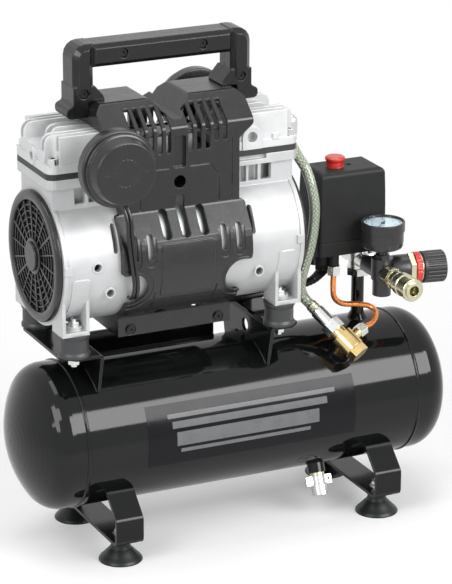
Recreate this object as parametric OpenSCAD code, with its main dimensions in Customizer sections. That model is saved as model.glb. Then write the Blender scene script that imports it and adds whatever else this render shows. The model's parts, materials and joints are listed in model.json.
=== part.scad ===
// Oil-free twin-cylinder air compressor on a six-litre tank.
// Frame: X along the tank, -Y is the front, +Z up, the floor is Z = 0.
// Origin: on the floor, under the middle of the tank.
// Each cylinder end is the same casting: the right end is the left end
// turned half a turn about the vertical line through the motor's centre.

/* [Tank] */
// Outer radius of the tank
tank_r = 70; // [64:1:76]
// Wall of the tank
tank_wall = 2; // [1.5:0.1:3]
// Length of the rolled shell, seam to seam
shell_len = 344; // [330:1:360]
// Height of the tank's axis above the floor
tank_z = 113; // [108:1:120]
// Straight flange of each dished head
head_flange = 11.7; // [8:0.1:16]
// Radius of the head's crown
crown_r = 105; // [95:1:130]
// Radius of the head's knuckle
knuckle_r = 25; // [18:1:30]

/* [Feet] */
// Distance between the two foot straps along the tank
feet_dx = 272; // [240:1:290]
// Distance between the cups of one strap, front to rear
feet_dy = 109; // [100:1:118]
// Width of the foot strap
strap_w = 27.5; // [22:0.5:34]
// Thickness of the foot strap
strap_t = 3; // [2:0.1:4]
// Height of the strap's underside above the floor
strap_z = 22; // [18:0.5:25]
// Half width of the strap over its upright sides
strap_half = 78; // [74:0.5:84]
// Radius of a suction cup at the floor
cup_r = 20.75; // [16:0.25:24]
// Radius of the foot bolt
foot_bolt_r = 3; // [2.5:0.1:4]

/* [Motor] */
// Place of the motor's centre along the tank
motor_x = -72; // [-76:0.5:-68]
// Height of the motor's feet above the tank's top
motor_lift = 46; // [42:0.5:50]
// Outer radius of the crankcase barrel
barrel_r = 64; // [62:0.5:66]
// Wall of the crankcase castings
cast_wall = 5; // [4:0.5:7]
// Distance from the motor's centre to a cylinder's axis
cyl_dx = 88; // [86:0.5:90]
// Distance from the motor's centre to the crankcase's outer face
case_out = 120.5; // [118:0.5:121]
// Length of the stator's stack
stator_len = 70; // [60:1:76]
// Air gap between rotor and stator
air_gap = 0.5; // [0.4:0.1:1]
// Radius of the rotor
rotor_r = 31; // [28:0.5:33]
// Radius of the shaft in its bearings
shaft_r = 7; // [6:0.25:8]
// Radius of the shaft's ends
shaft_end_r = 6; // [5:0.25:6.5]
// Outer radius of a shaft bearing
bearing_r = 17.5; // [15:0.5:20]
// Width of a shaft bearing
bearing_w = 11; // [9:0.5:12]

/* [Cylinders] */
// Bore radius of a cylinder
bore_r = 25; // [23:0.5:25.5]
// Wall of a cylinder sleeve
sleeve_wall = 1.5; // [1:0.1:1.5]
// Throw of the eccentric, half the stroke
throw = 6; // [5:0.25:6.5]
// Wall of the eccentric round the shaft at its thinnest
eccentric_wall = 1.5; // [1.2:0.1:2.5]
// Thickness of a connecting rod
rod_t = 10; // [8:0.5:11]
// Wall of the rod's eye
rod_eye_wall = 4.6; // [3.5:0.1:6]
// Height of the crankcase deck above the shaft
deck_h = 82; // [80:0.5:84]
// Thickness of the deck
deck_t = 9.1; // [7:0.1:10]
// Thickness of the valve plate with its gaskets
plate_t = 5.8; // [4:0.1:7]
// Thickness of the head's flange
head_base = 7.7; // [6:0.1:9]
// Height of the head's fins above its flange
fin_h = 26; // [20:0.5:30]
// Half width of a head, front to rear
head_half = 41; // [38:0.5:43]
// Distance from the motor's centre to a head's inner end
head_in = 50; // [49:0.5:53]
// Distance from the motor's centre to a head's outer end
head_out = 125.3; // [122:0.1:127]

/* [Fan covers] */
// Rim of the crankcase left bare round a fan cover
fan_cover_inset = 2.5; // [1:0.5:5]
// Width of a fan cover's rim
fan_rim = 9.5; // [8:0.5:12]
// Depth of a fan cover
fan_cover_t = 5.5; // [5:0.5:8]
// Number of main spokes
spokes = 8; // [6:1:12]
// Radius of the grille's hub
hub_r = 17; // [14:0.5:20]
// Number of thin rings in the grille
grille_rings = 8; // [4:1:10]
// Play between a fan's tips and its cover's opening
fan_play = 3; // [2:0.5:6]
// Number of fan blades
blades = 7; // [5:1:9]

/* [Covers] */
// Wall of the moulded covers
cover_wall = 2.6; // [2:0.1:3.2]
// Distance of the cover's upper face from the shaft's plane
cover_y = 50; // [49:0.5:54]
// Room between the crankcase barrel and the cover's belly
cover_gap = 6; // [5.5:0.5:10]
// Half width of the cover's upper part
cover_half = 60; // [56:0.5:62]
// Half width of the cover's shoulders
shoulder_half = 74; // [70:0.5:78]
// Height of the cover's top above the shaft
cover_top = 143.5; // [141:0.5:147]
// Distance between the louvre slots
louvre_pitch = 8.6; // [7.5:0.1:9]
// Width of a louvre slot
louvre_w = 5; // [3.5:0.1:6]
// Louvre slots on each side of the middle channel
louvres = 5; // [3:1:5]

/* [Handle] */
// Half width of the handle over its legs
handle_half = 88.4; // [84:0.2:94]
// Depth of one handle shell, from the middle plane to its face
handle_d = 16; // [13:0.5:19]
// Width of a handle leg
leg_w = 20; // [16:0.5:24]
// Height of the grip bar
grip_h = 22; // [18:0.5:26]
// Top of the handle above the shaft
handle_top = 196.5; // [190:0.5:205]

/* [Intake filters] */
// Radius of the filter's shell
filter_r = 35.8; // [33:0.1:38]
// Radius of the filter's front disc
filter_disc_r = 28.3; // [25:0.1:30]
// Distance of the filter's face from the shaft's plane
filter_y = 104.5; // [102:0.5:108]
// Depth of the whole filter behind its face
filter_depth = 28.5; // [26:0.5:34]

/* [Mounts] */
// Radius of a rubber mount
rubber_r = 15; // [12:0.5:17]
// Height of a rubber mount
rubber_h = 22; // [18:0.5:24]
// Distance from the motor's centre to the rubber mounts
rubber_dx = 104.4; // [102:0.2:106]
// Distance between the rubber mounts, front to rear
rubber_dy = 90; // [84:1:96]
// Thickness of the mount brackets
bracket_t = 3; // [2:0.1:4]

/* [Pressure switch and manifold] */
// Place of the riser pipe along the tank
riser_x = 139.6; // [136:0.2:143]
// Radius of the riser pipe
riser_r = 6.2; // [5:0.1:7.5]
// Height of the switch's underside above the tank's top
switch_lift = 74; // [71:0.5:77]
// Width of the switch at its base
switch_w = 72.6; // [66:0.2:76]
// Depth of the switch at its base, front to rear
switch_d = 49; // [44:0.5:52]
// Height of the switch over all
switch_h = 81.5; // [74:0.5:90]
// Height of the switch's base
switch_base_h = 13.5; // [10:0.5:18]
// Radius of the push button
button_r = 9.7; // [7:0.1:11]
// Travel of the push button
button_travel = 5; // [3:0.5:6]

/* [Regulator, gauge and coupler] */
// Distance of the regulator from the tank's middle plane
reg_y = 46.5; // [46.5:0.5:50]
// Drop of the regulator's axis below the switch
reg_drop = 13; // [11:0.5:15]
// Turn of the regulator's knob toward the front
reg_turn = 10; // [0:1:20]
// Radius of the regulator's knob
knob_r = 15.4; // [13:0.1:17]
// Radius of the gauge's case
gauge_r = 21; // [18:0.25:22]
// Height of the gauge's case
gauge_h = 22.5; // [18:0.5:26]
// Radius of the coupler's socket
socket_r = 5; // [4:0.1:6]
// Distance of the coupler's face from the tank's middle plane
coupler_y = 110.5; // [109:0.5:114]
// Travel of the coupler's sleeve
sleeve_travel = 3.5; // [2:0.5:4]

/* [Hidden] */
// Play of a running fit, on the radius
run_fit = 0.06;
// Gap between pieces that seat without touching
seat_gap = 0.3;
// Facets of round pieces, and of small ones inside a hull
$fn = 72;
hull_fn = 28;

// Heights above the shaft at which the parts of a cylinder meet
deck_z = deck_h - deck_t;
plate_z = deck_h + plate_t;
flange_z = plate_z + head_base;
block_z = flange_z + 11;
fin_z = flange_z + fin_h;
port_z = plate_z + 12.7;
// Heights above the floor
tank_top = tank_z + tank_r;
foot_drop = barrel_r - 1.5;
seat_z = tank_top + motor_lift;
shaft_z = seat_z + foot_drop;
bracket_z = seat_z - rubber_h;
switch_z = tank_top + switch_lift;
reg_z = switch_z - reg_drop;
manifold_z = switch_z - 30;
// Round pieces about the shaft, each inside the next
chamber_r = barrel_r - cast_wall;
stator_r = chamber_r - 0.1;
fan_cover_r = barrel_r - fan_cover_inset;
fan_open_r = fan_cover_r - fan_rim;
fan_r = fan_open_r - fan_play;
cover_r = barrel_r + cover_gap;
// Places on a cylinder end, outward from the motor's centre
sleeve_r = bore_r + sleeve_wall;
port_x = cyl_dx - 11;
bolt_in = head_in + 7.3;
bolt_out = head_out - 7.3;
bolt_y = head_half - 6.5;
head_bolt_r = 3;
filter_x = port_x - 1;
cap_r = 16;
cap_z = shaft_z + 91.5;
tie_z = shaft_z + 69;
tie_r = 8;
tie_screw_r = 2;

// ---------- helpers ----------
module xrod(r, x0, x1) { translate([x0, 0, 0]) rotate([0, 90, 0]) cylinder(r = r, h = x1 - x0); }
module yrod(r, y0, y1) { translate([0, y0, 0]) rotate([-90, 0, 0]) cylinder(r = r, h = y1 - y0); }
module zrod(r, z0, z1) { translate([0, 0, z0]) cylinder(r = r, h = z1 - z0); }
module xpipe(ro, ri, x0, x1) { difference() { xrod(ro, x0, x1); xrod(ri, x0 - 1, x1 + 1); } }
module zpipe(ro, ri, z0, z1) { difference() { zrod(ro, z0, z1); zrod(ri, z0 - 1, z1 + 1); } }
module hex(af, h) { cylinder(r = af / sqrt(3), h = h, $fn = 6); }
module box(x0, x1, y0, y1, z0, z1) { translate([x0, y0, z0]) cube([x1 - x0, y1 - y0, z1 - z0]); }
// A flat shape drawn in Y and Z, thickened along X from x0 to x1
module x_plate(x0, x1) { translate([x0, 0, 0]) rotate([90, 0, 90]) linear_extrude(x1 - x0) children(); }
// A flat shape drawn in X and Z, thickened along Y from y0 to y1
module y_plate(y0, y1) { translate([0, y1, 0]) rotate([90, 0, 0]) linear_extrude(y1 - y0) children(); }
// A slot with round ends, w wide, from z0 to z1 in the plane that is drawn
module stadium(w, z0, z1) {
    translate([0, z0 + w / 2]) circle(w / 2, $fn = 32);
    translate([0, z1 - w / 2]) circle(w / 2, $fn = 32);
    translate([-w / 2, z0 + w / 2]) square([w, z1 - z0 - w]);
}

function unit(v) = v / norm(v);
function arc(cx, cy, r, a0, a1, n) =
    [for (i = [0:n]) [cx + r * cos(a0 + (a1 - a0) * i / n), cy + r * sin(a0 + (a1 - a0) * i / n)]];
function reversed(p) = [for (i = [len(p) - 1:-1:0]) p[i]];
// Outline p with each corner i rounded to radius r[i]
function rounded(p, r, n = 4) = [for (i = [0:len(p) - 1]) each corner(
    p[(i + len(p) - 1) % len(p)], p[i], p[(i + 1) % len(p)], r[i], n)];
function corner(a, b, c, r, n) = r == 0 ? [b] :
    let (u = unit(a - b), v = unit(c - b), half = acos(u * v) / 2,
         m = b + unit(u + v) * r / sin(half),
         s = b + u * r / tan(half) - m, e = b + v * r / tan(half) - m,
         a0 = atan2(s[1], s[0]), turn = atan2(e[1], e[0]) - a0,
         a1 = a0 + (turn > 180 ? turn - 360 : turn < -180 ? turn + 360 : turn))
    arc(m[0], m[1], r, a0, a1, n);
module rounded_box(x0, x1, y0, y1, z0, z1, r) {
    translate([0, 0, z0]) linear_extrude(z1 - z0)
        polygon(rounded([[x0, y0], [x1, y0], [x1, y1], [x0, y1]], [r, r, r, r]));
}

// A smooth curve through the points p, n steps a span
function spline(p, n) = [for (i = [0:len(p) - 2]) for (j = [0:n - 1])
    span(p[max(i - 1, 0)], p[i], p[i + 1], p[min(i + 2, len(p) - 1)], j / n), p[len(p) - 1]];
function span(a, b, c, d, t) =
    (2 * b + (c - a) * t + (2 * a - 5 * b + 4 * c - d) * t * t + (3 * b - a - 3 * c + d) * t * t * t) / 2;
function heading(p, i) = unit(p[min(i + 1, len(p) - 1)] - p[max(i - 1, 0)]);
function normals(p, i, n) = i >= len(p) ? [] :
    let (t = heading(p, i), m = unit(n - (n * t) * t)) concat([m], normals(p, i + 1, m));
// A round tube of radius r swept along the points p
module sweep(p, r, sides) {
    up = normals(p, 0, abs(heading(p, 0)[2]) > 0.9 ? [1, 0, 0] : [0, 0, 1]);
    points = [for (i = [0:len(p) - 1]) for (k = [0:sides - 1])
        p[i] + r * cos(360 * k / sides) * up[i] + r * sin(360 * k / sides) * cross(heading(p, i), up[i])];
    last = (len(p) - 1) * sides;
    polyhedron(points, concat(
        [[for (k = [0:sides - 1]) k]], [[for (k = [sides - 1:-1:0]) last + k]],
        [for (i = [0:len(p) - 2]) for (k = [0:sides - 1]) let (a = i * sides + k, b = i * sides + (k + 1) % sides)
            each [[a, a + sides, b], [b, a + sides, b + sides]]]));
}

// Places the children at a cylinder end: +X is outward along the shaft and
// +Y is the side of the intake filter. side is -1 for left and 1 for right.
module at_end(side) {
    translate([motor_x, 0, 0]) rotate([0, 0, side < 0 ? 180 : 0]) children();
}
// The same with the origin lifted to the shaft's axis
module on_shaft(side = 1) { at_end(side) translate([0, 0, shaft_z]) children(); }
module both_ends() { for (side = [-1, 1]) at_end(side) children(); }
module head_corners() {
    for (x = [bolt_in, bolt_out], y = [-bolt_y, bolt_y]) translate([x, y, 0]) children();
}

// ---------- tank ----------
check_x = 97.5;
check_turn = 40;
boss_h = 8;
drain_x = 81;
drain_turn = 155;
drain_boss = 9;
// Puts the children on the tank's skin at x, turned round the tank from the
// top toward the front, with +Z pointing away from the skin
module on_skin(x, turn) {
    translate([x, 0, tank_z]) rotate([turn, 0, 0]) translate([0, 0, tank_r]) children();
}
module tank_shell() {
    half = shell_len / 2;
    color("#17181a") difference() {
        union() {
            translate([0, 0, tank_z]) xrod(tank_r, -half, half);
            for (m = [0, 1]) mirror([m, 0, 0]) translate([half, 0, tank_z]) rotate([0, 90, 0]) weld_bead();
            on_skin(check_x, check_turn) zrod(11, -1.5, boss_h);
            on_skin(drain_x, drain_turn) zrod(8.5, -1.5, drain_boss);
            on_skin(riser_x, 0) translate([0, 0, -1.5]) cylinder(r1 = riser_r + 5, r2 = riser_r + 1, h = 6.5);
        }
        translate([0, 0, tank_z]) xrod(tank_r - tank_wall, -half - 5, half + 5);
        on_skin(check_x, check_turn) zrod(4, -5, boss_h + 1);
        on_skin(drain_x, drain_turn) zrod(3.5, -5, drain_boss + 1);
        on_skin(riser_x, 0) zrod(riser_r, -5, 8);
    }
}
// The bead is rooted in the shell and only lies on the head beside it
bead_root = 0.4;
module weld_bead() {
    rotate_extrude() polygon(concat([[tank_r - bead_root, -2], [tank_r - bead_root, 0], [tank_r, 0], [tank_r, 2]],
        [for (a = [60, 90, 120]) [tank_r - 0.3 + 1.5 * sin(a), 1.8 * cos(a)]]));
}

head_x = shell_len / 2 + head_flange;
crown_drop = sqrt(pow(crown_r - knuckle_r, 2) - pow(tank_r - knuckle_r, 2));
crown_a = 90 - atan2(tank_r - knuckle_r, crown_drop);
// Half section of a dished head, as radius and distance along the tank
function dish(wall) = concat(
    arc(tank_r - knuckle_r, head_x, knuckle_r - wall, 0, crown_a, 7),
    [for (i = [1:9]) let (a = crown_a + (90 - crown_a) * i / 9)
        [(crown_r - wall) * cos(a), head_x - crown_drop + (crown_r - wall) * sin(a)]]);
module tank_heads() {
    color("#17181a") for (m = [0, 1]) mirror([m, 0, 0]) translate([0, 0, tank_z]) rotate([0, 90, 0])
        rotate_extrude() polygon(concat([[tank_r, shell_len / 2]], dish(0),
            reversed(dish(tank_wall)), [[tank_r - tank_wall, shell_len / 2]]));
}
module riser_pipe() {
    color("#1b1c1e") translate([riser_x, 0, 0])
        zpipe(riser_r, riser_r - 2.2, tank_z + tank_r - 4, manifold_z);
}

// ---------- feet ----------
strap_shoulder = strap_z + 26.4;
strap_slope = 43;
function strap_line(t) = [
    [t - strap_half, strap_z + t], [strap_half - t, strap_z + t],
    [strap_half - t, slope_z(t, strap_half - t)], [strap_half - 30, slope_z(t, strap_half - 30)],
    [30 - strap_half, slope_z(t, strap_half - 30)], [t - strap_half, slope_z(t, strap_half - t)]];
function slope_z(t, y) = strap_shoulder + (strap_half - y) * tan(strap_slope) - t / cos(strap_slope);
module strap(side) {
    color("#1b1c1e") translate([side * feet_dx / 2, 0, 0]) difference() {
        x_plate(-strap_w / 2, strap_w / 2) difference() {
            polygon(rounded(strap_line(0), [7, 7, 7, 0, 0, 7], 5));
            polygon(rounded(strap_line(strap_t), [4, 4, 4, 0, 0, 4], 5));
            translate([0, tank_z]) circle(tank_r);
        }
        for (y = [-1, 1]) translate([0, y * feet_dy / 2, 0])
            zrod(foot_bolt_r + seat_gap, strap_z - 1, strap_z + strap_t + 1);
    }
}
module foot_strap_left() { strap(-1); }
module foot_strap_right() { strap(1); }
module at_feet() {
    for (x = [-1, 1], y = [-1, 1]) translate([x * feet_dx / 2, y * feet_dy / 2, 0]) children();
}
module foot_cups() {
    color("#26272a") at_feet() rotate_extrude() polygon([
        [cup_r - 1.4, 0], [cup_r, 0], [cup_r, 1], [cup_r - 1.4, 3], [cup_r - 4.5, 6], [13, 9.5],
        [10, 12.5], [9, 15.5], [9, strap_z], [foot_bolt_r, strap_z], [foot_bolt_r, 9], [7, 8], [13, 5.5]]);
}
module foot_bolts() {
    top = strap_z + strap_t;
    color("#b9bcc0") at_feet() {
        zrod(foot_bolt_r, 9, top + 9);
        zrod(7, top, top + 1.4);
        translate([0, 0, top + 1.4]) hex(10, 5);
    }
}

// ---------- mounts between tank and motor ----------
web_left = 79;
web_right = 91.5;
// A bent bracket: the web stands at x 0, and the flange runs to x = long
module bracket(long, stud_x, cut) {
    drop = tank_z + 40;
    top = bracket_z;
    difference() {
        y_plate(-56, 56) polygon(rounded([[0, drop], [bracket_t, drop], [bracket_t, top - bracket_t],
            [long, top - bracket_t], [long, top], [0, top]], [0, 0, 1, 0, 0, 4]));
        translate([0, 0, tank_z]) xrod(tank_r, -1, long);
        for (m = [0, 1]) mirror([0, m, 0]) {
            x_plate(-1, bracket_t + 2) polygon([[55.5, top - 3.5], [46, top - 42], [46, 100], [60, 100], [60, top - 3.5]]);
            translate([0, 0, top - 5]) linear_extrude(6)
                polygon([[long + 1, 56 - cut], [long + 1, 57], [long - cut, 57], [long - cut, 56]]);
            translate([stud_x, rubber_dy / 2, 0]) zrod(3 + seat_gap, top - 5, top + 1);
        }
    }
}
// The left bracket carries a rail along the tank that stops short of the right one
rail_y = 30;
rail_h = 14;
rail_gap = 20;
module mount_bracket_left() {
    color("#1b1c1e") {
        translate([motor_x - web_left, 0, 0]) mirror([1, 0, 0]) bracket(40, rubber_dx - web_left, 13);
        difference() {
            box(motor_x - web_left - 1, motor_x + web_right - rail_gap, rail_y, rail_y + bracket_t,
                tank_z + 40, tank_top + rail_h);
            translate([0, 0, tank_z]) xrod(tank_r, -shell_len / 2, shell_len / 2);
        }
    }
}
module mount_bracket_right() {
    color("#1b1c1e") difference() {
        translate([motor_x + web_right, 0, 0]) bracket(30.5, rubber_dx - web_right, 9);
        translate([motor_x + web_right, 2, bracket_z - 15]) xrod(6.5, -1, bracket_t + 1);
    }
}
module at_rubbers() {
    for (side = [-1, 1], y = [-1, 1])
        translate([motor_x + side * rubber_dx, y * rubber_dy / 2, bracket_z]) children();
}
module rubber_mounts() {
    color("#2a2b2e") at_rubbers() difference() {
        rotate_extrude() polygon([[0, 0], [rubber_r, 0], [rubber_r, 2.5], [rubber_r - 1.3, 5],
            [rubber_r - 1.3, rubber_h - 5], [rubber_r, rubber_h - 2.5], [rubber_r, rubber_h], [0, rubber_h]]);
        zrod(3, -1, 5);
        zrod(3, rubber_h - 5, rubber_h + 1);
    }
}
foot_t = 4;
foot_boss = 7;
module mount_nuts() {
    color("#b9bcc0") at_rubbers() {
        zrod(3, -11, 5);
        translate([0, 0, -8.5]) hex(10, 5.5);
        zrod(3, rubber_h - 5, rubber_h + foot_boss + 6.5);
        translate([0, 0, rubber_h + foot_boss]) hex(10, 4);
    }
}

// ---------- motor and crankcases ----------
case_in = 28;
wall_x0 = 62;
wall_x1 = 70;
neck_half = 37;
foot_in = 94;
gusset_t = 3.2;
panel_top = -7;
lug_z = 2.8;
module window(x0, x1, z0, z1) {
    for (m = [0, 1]) mirror([0, m, 0]) y_plate(neck_half - cast_wall, neck_half + 1)
        polygon(rounded([[x0, z0], [x1, z0], [x1, z1], [x0, z1]], [1.2, 1.2, 1.2, 1.2]));
}
module crankcase(side) {
    color("#b4b7ba") on_shaft(side) difference() {
        union() {
            xrod(barrel_r, case_in, case_out);
            xrod(barrel_r + 1, case_out - 4, case_out);
            box(58, case_out, -neck_half, neck_half, 0, deck_z + 1);
            rounded_box(head_in, head_out, -head_half, head_half, deck_z, deck_h, 8);
            for (m = [0, 1]) mirror([0, m, 0]) {
                box(foot_in, case_out, 33, 58, -foot_drop, foot_t - foot_drop);
                for (x = [foot_in, case_out - gusset_t]) box(x, x + gusset_t, 33, 58, -foot_drop, -25);
                translate([rubber_dx, rubber_dy / 2, 0]) zrod(8.5, -foot_drop, foot_boss - foot_drop);
                box(case_out - 7.5, case_out - 0.5, barrel_r - 4, barrel_r + 2, lug_z - 4, lug_z + 4);
                translate([port_x - 2, 0, -23.7]) yrod(5, 50, barrel_r - 1);
            }
            translate([cyl_dx, 0, lug_z]) yrod(5, 50, barrel_r + 1.2);
            intersection() {
                xrod(barrel_r + 1, foot_in, case_out);
                y_plate(-barrel_r - 2, barrel_r + 2) polygon(rounded([[foot_in + 1, -40], [case_out - 8, -40],
                    [case_out - 8, panel_top], [foot_in + 1, panel_top]], [0, 0, 3, 3]));
            }
        }
        xrod(stator_r, case_in - 1, stator_len / 2);
        xrod(chamber_r - 1, stator_len / 2 - 1, wall_x0);
        difference() {
            xrod(chamber_r, wall_x1, case_out + 1);
            for (a = [45, 135, 225, 315]) rotate([a, 0, 0]) {
                translate([0, 0, screw_at]) xrod(4, case_out - 14, case_out + 2);
                box(case_out - 14, case_out + 2, -4, 4, screw_at, chamber_r + 1);
            }
        }
        xrod(bearing_r, wall_x1 - bearing_w, wall_x1 + 1);
        xrod(bearing_r - 3, wall_x0 - 5, wall_x1);
        box(wall_x1, case_out - 6, cast_wall - neck_half, neck_half - cast_wall, 0, deck_z);
        translate([cyl_dx, 0, 0]) zrod(sleeve_r, 53, deck_h + 1);
        window(66, 73, 56.2, 72);
        window(75.4, 84.8, 56.2, 72);
        window(88, 98.5, 56.2, 72);
        box(head_in - 1, port_x + 15, -head_half - 1, -head_half + 4, deck_h - 4.5, deck_h + 1);
        for (m = [0, 1]) mirror([0, m, 0]) {
            y_plate(45, barrel_r + 1) translate([wall_x1 - 1.4, 0]) stadium(4.8, 13, 38.5);
            translate([port_x - 2, 0, -23.7]) yrod(3.7, 49, barrel_r + 1);
        }
        translate([cyl_dx, 0, lug_z]) yrod(3.7, 49, barrel_r + 2);
        head_corners() zrod(head_bolt_r, deck_h - 8, deck_h + 1);
        for (y = [-1, 1]) translate([rubber_dx, y * rubber_dy / 2, 0]) 
            zrod(3 + seat_gap, -foot_drop - 1, foot_boss - foot_drop + 1);
        for (a = [45, 135, 225, 315]) rotate([a, 0, 0]) translate([0, 0, screw_at])
            xrod(1.5, case_out - 9, case_out + 1);
    }
}
module crankcase_left() { crankcase(-1); }
module crankcase_right() { crankcase(1); }

slots = 12;
slot_r = 3.6;
slot_at = 39.5;
module stator_core() {
    half = stator_len / 2;
    color("#8e9094") on_shaft() difference() {
        xrod(stator_r, -half, half);
        xrod(rotor_r + air_gap, -half - 1, half + 1);
        for (i = [0:slots - 1]) rotate([i * 360 / slots, 0, 0]) translate([0, 0, slot_at])
            xrod(slot_r, -half - 1, half + 1);
    }
}
module stator_windings() {
    half = stator_len / 2;
    end = half + 17;
    color("#a9552c") on_shaft() {
        for (m = [0, 1]) mirror([m, 0, 0]) rotate([0, 90, 0]) rotate_extrude()
            polygon(rounded([[rotor_r + 2, half], [stator_r - 4.9, half], [stator_r - 4.9, end], [rotor_r + 2, end]],
                [0, 5, 6, 6]));
        for (i = [0:slots - 1]) rotate([i * 360 / slots, 0, 0]) translate([0, 0, slot_at])
            xrod(slot_r, -half - 0.5, half + 0.5);
    }
}
module shaft_bearings() {
    color("#c9ccd0") for (side = [-1, 1]) on_shaft(side) difference() {
        xrod(bearing_r, wall_x1 - bearing_w, wall_x1);
        xrod(shaft_r + run_fit, 0, wall_x1 + 1);
        for (x = [wall_x1 - bearing_w - 1, wall_x1 - 1]) xpipe(bearing_r - 2.5, bearing_r - 6.5, x, x + 2);
    }
}
ecc_x0 = 80;
fan_in = 97;
fan_out = 114;
module motor_shaft() {
    color("#d2d4d7") on_shaft() {
        xrod(shaft_r, -ecc_x0 + 6, ecc_x0 - 6);
        for (side = [-1, 1]) rotate([0, 0, side < 0 ? 180 : 0]) xrod(shaft_end_r, ecc_x0 - 6, fan_out + 1);
    }
}
module rotor_core() {
    half = stator_len / 2 - 1;
    color("#9b9da1") on_shaft() {
        xpipe(rotor_r, shaft_r, -half, half);
        xpipe(rotor_r - 1, rotor_r - 10, half, half + 7);
        xpipe(rotor_r - 1, rotor_r - 10, -half - 7, -half);
    }
}
ecc_r = shaft_end_r + throw + eccentric_wall;
// The two cranks stand opposite each other, so one piston rises as the other falls.
// At rest both are at mid-stroke
module eccentrics() {
    color("#77797d") for (side = [-1, 1]) on_shaft(side) difference() {
        union() {
            translate([0, throw, 0]) xrod(ecc_r, ecc_x0, ecc_x0 + 14);
            intersection() {
                xrod(34, ecc_x0 - 6, ecc_x0);
                box(ecc_x0 - 7, ecc_x0 + 1, -40, 10, -26, 26);
            }
        }
        xrod(shaft_end_r, ecc_x0 - 8, ecc_x0 + 16);
    }
}
module cooling_fans() {
    color("#d9dadc") for (side = [-1, 1]) on_shaft(side) difference() {
        union() {
            xrod(13, fan_in, fan_out);
            xrod(32, fan_in, fan_in + 1.6);
            for (i = [0:blades - 1]) rotate([i * 360 / blades, 0, 0]) translate([(fan_in + fan_out) / 2, 0, 30])
                rotate([0, 0, 32]) translate([-1, -11, -19]) cube([2, 22, 38]);
        }
        xrod(shaft_end_r, fan_in - 1, fan_out + 2);
        xpipe(70, fan_r, 80, 130);
    }
}

// ---------- fan covers ----------
screw_at = fan_open_r + 4;
module fan_cover(side) {
    out = case_out + fan_cover_t;
    mid = out - 5.5;
    color("#2f3033") on_shaft(side) {
        difference() {
            rotate([0, 90, 0]) rotate_extrude() polygon(rounded([[fan_open_r, case_out], [fan_cover_r, case_out],
                [fan_cover_r, out], [fan_open_r, out]], [0, 0, 3, 1]));
            for (a = [45, 135, 225, 315]) rotate([a, 0, 0]) translate([0, 0, screw_at]) {
                xrod(1.5, case_out - 1, out + 1);
                xrod(3, out - 3, out + 1);
            }
        }
        rotate([0, 90, 0]) rotate_extrude() polygon([[0, mid], [hub_r, mid], [hub_r, out],
            [hub_r - 3, out], [hub_r - 3.5, out + 2.5], [0, out + 2.5]]);
        for (i = [1:grille_rings]) let (r = hub_r + (fan_open_r - hub_r) * i / (grille_rings + 1))
            rotate([0, 90, 0]) rotate_extrude() translate([r - 0.9, mid + 0.7]) square([1.8, 3]);
        for (i = [0:spokes - 1]) rotate([i * 360 / spokes, 0, 0])
            box(mid + 0.3, out - 1.2, -1.6, 1.6, hub_r - 0.6, fan_open_r + 0.6);
    }
}
module fan_cover_left() { fan_cover(-1); }
module fan_cover_right() { fan_cover(1); }

// ---------- pistons, sleeves and valve plates ----------
crown_z = deck_h - throw - 1;
eye_r = ecc_r + 2 * throw + 0.4;
module piston_rod(side) {
    color("#c2c5c9") on_shaft(side) {
        xpipe(eye_r + rod_eye_wall, eye_r, cyl_dx - rod_t / 2, cyl_dx + rod_t / 2);
        difference() {
            box(cyl_dx - rod_t / 2, cyl_dx + rod_t / 2, -8, 8, eye_r + 1, crown_z - 6);
            xrod(eye_r, cyl_dx - 20, cyl_dx + 20);
        }
        translate([cyl_dx, 0, 0]) zrod(bore_r - run_fit, crown_z - 7, crown_z);
    }
}
module piston_rod_left() { piston_rod(-1); }
module piston_rod_right() { piston_rod(1); }
module cylinder_sleeves() {
    color("#a3a7ab") for (side = [-1, 1]) on_shaft(side) translate([cyl_dx, 0, 0])
        zpipe(sleeve_r, bore_r, 53, deck_h);
}
module valve_plates() {
    color("#202124") for (side = [-1, 1]) on_shaft(side) {
        difference() {
            rounded_box(head_in, head_out, -head_half, head_half, deck_h, plate_z, 8);
            head_corners() zrod(head_bolt_r + seat_gap, deck_h - 1, plate_z + 1);
            for (y = [-12, 12]) translate([cyl_dx, y, 0]) zrod(4, deck_h - 1, plate_z + 1);
        }
        box(cyl_dx - 15, cyl_dx + 5, -17, -7, plate_z, plate_z + 0.4);
        box(cyl_dx - 5, cyl_dx + 15, 7, 17, deck_h - 0.4, deck_h);
    }
}

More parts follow.
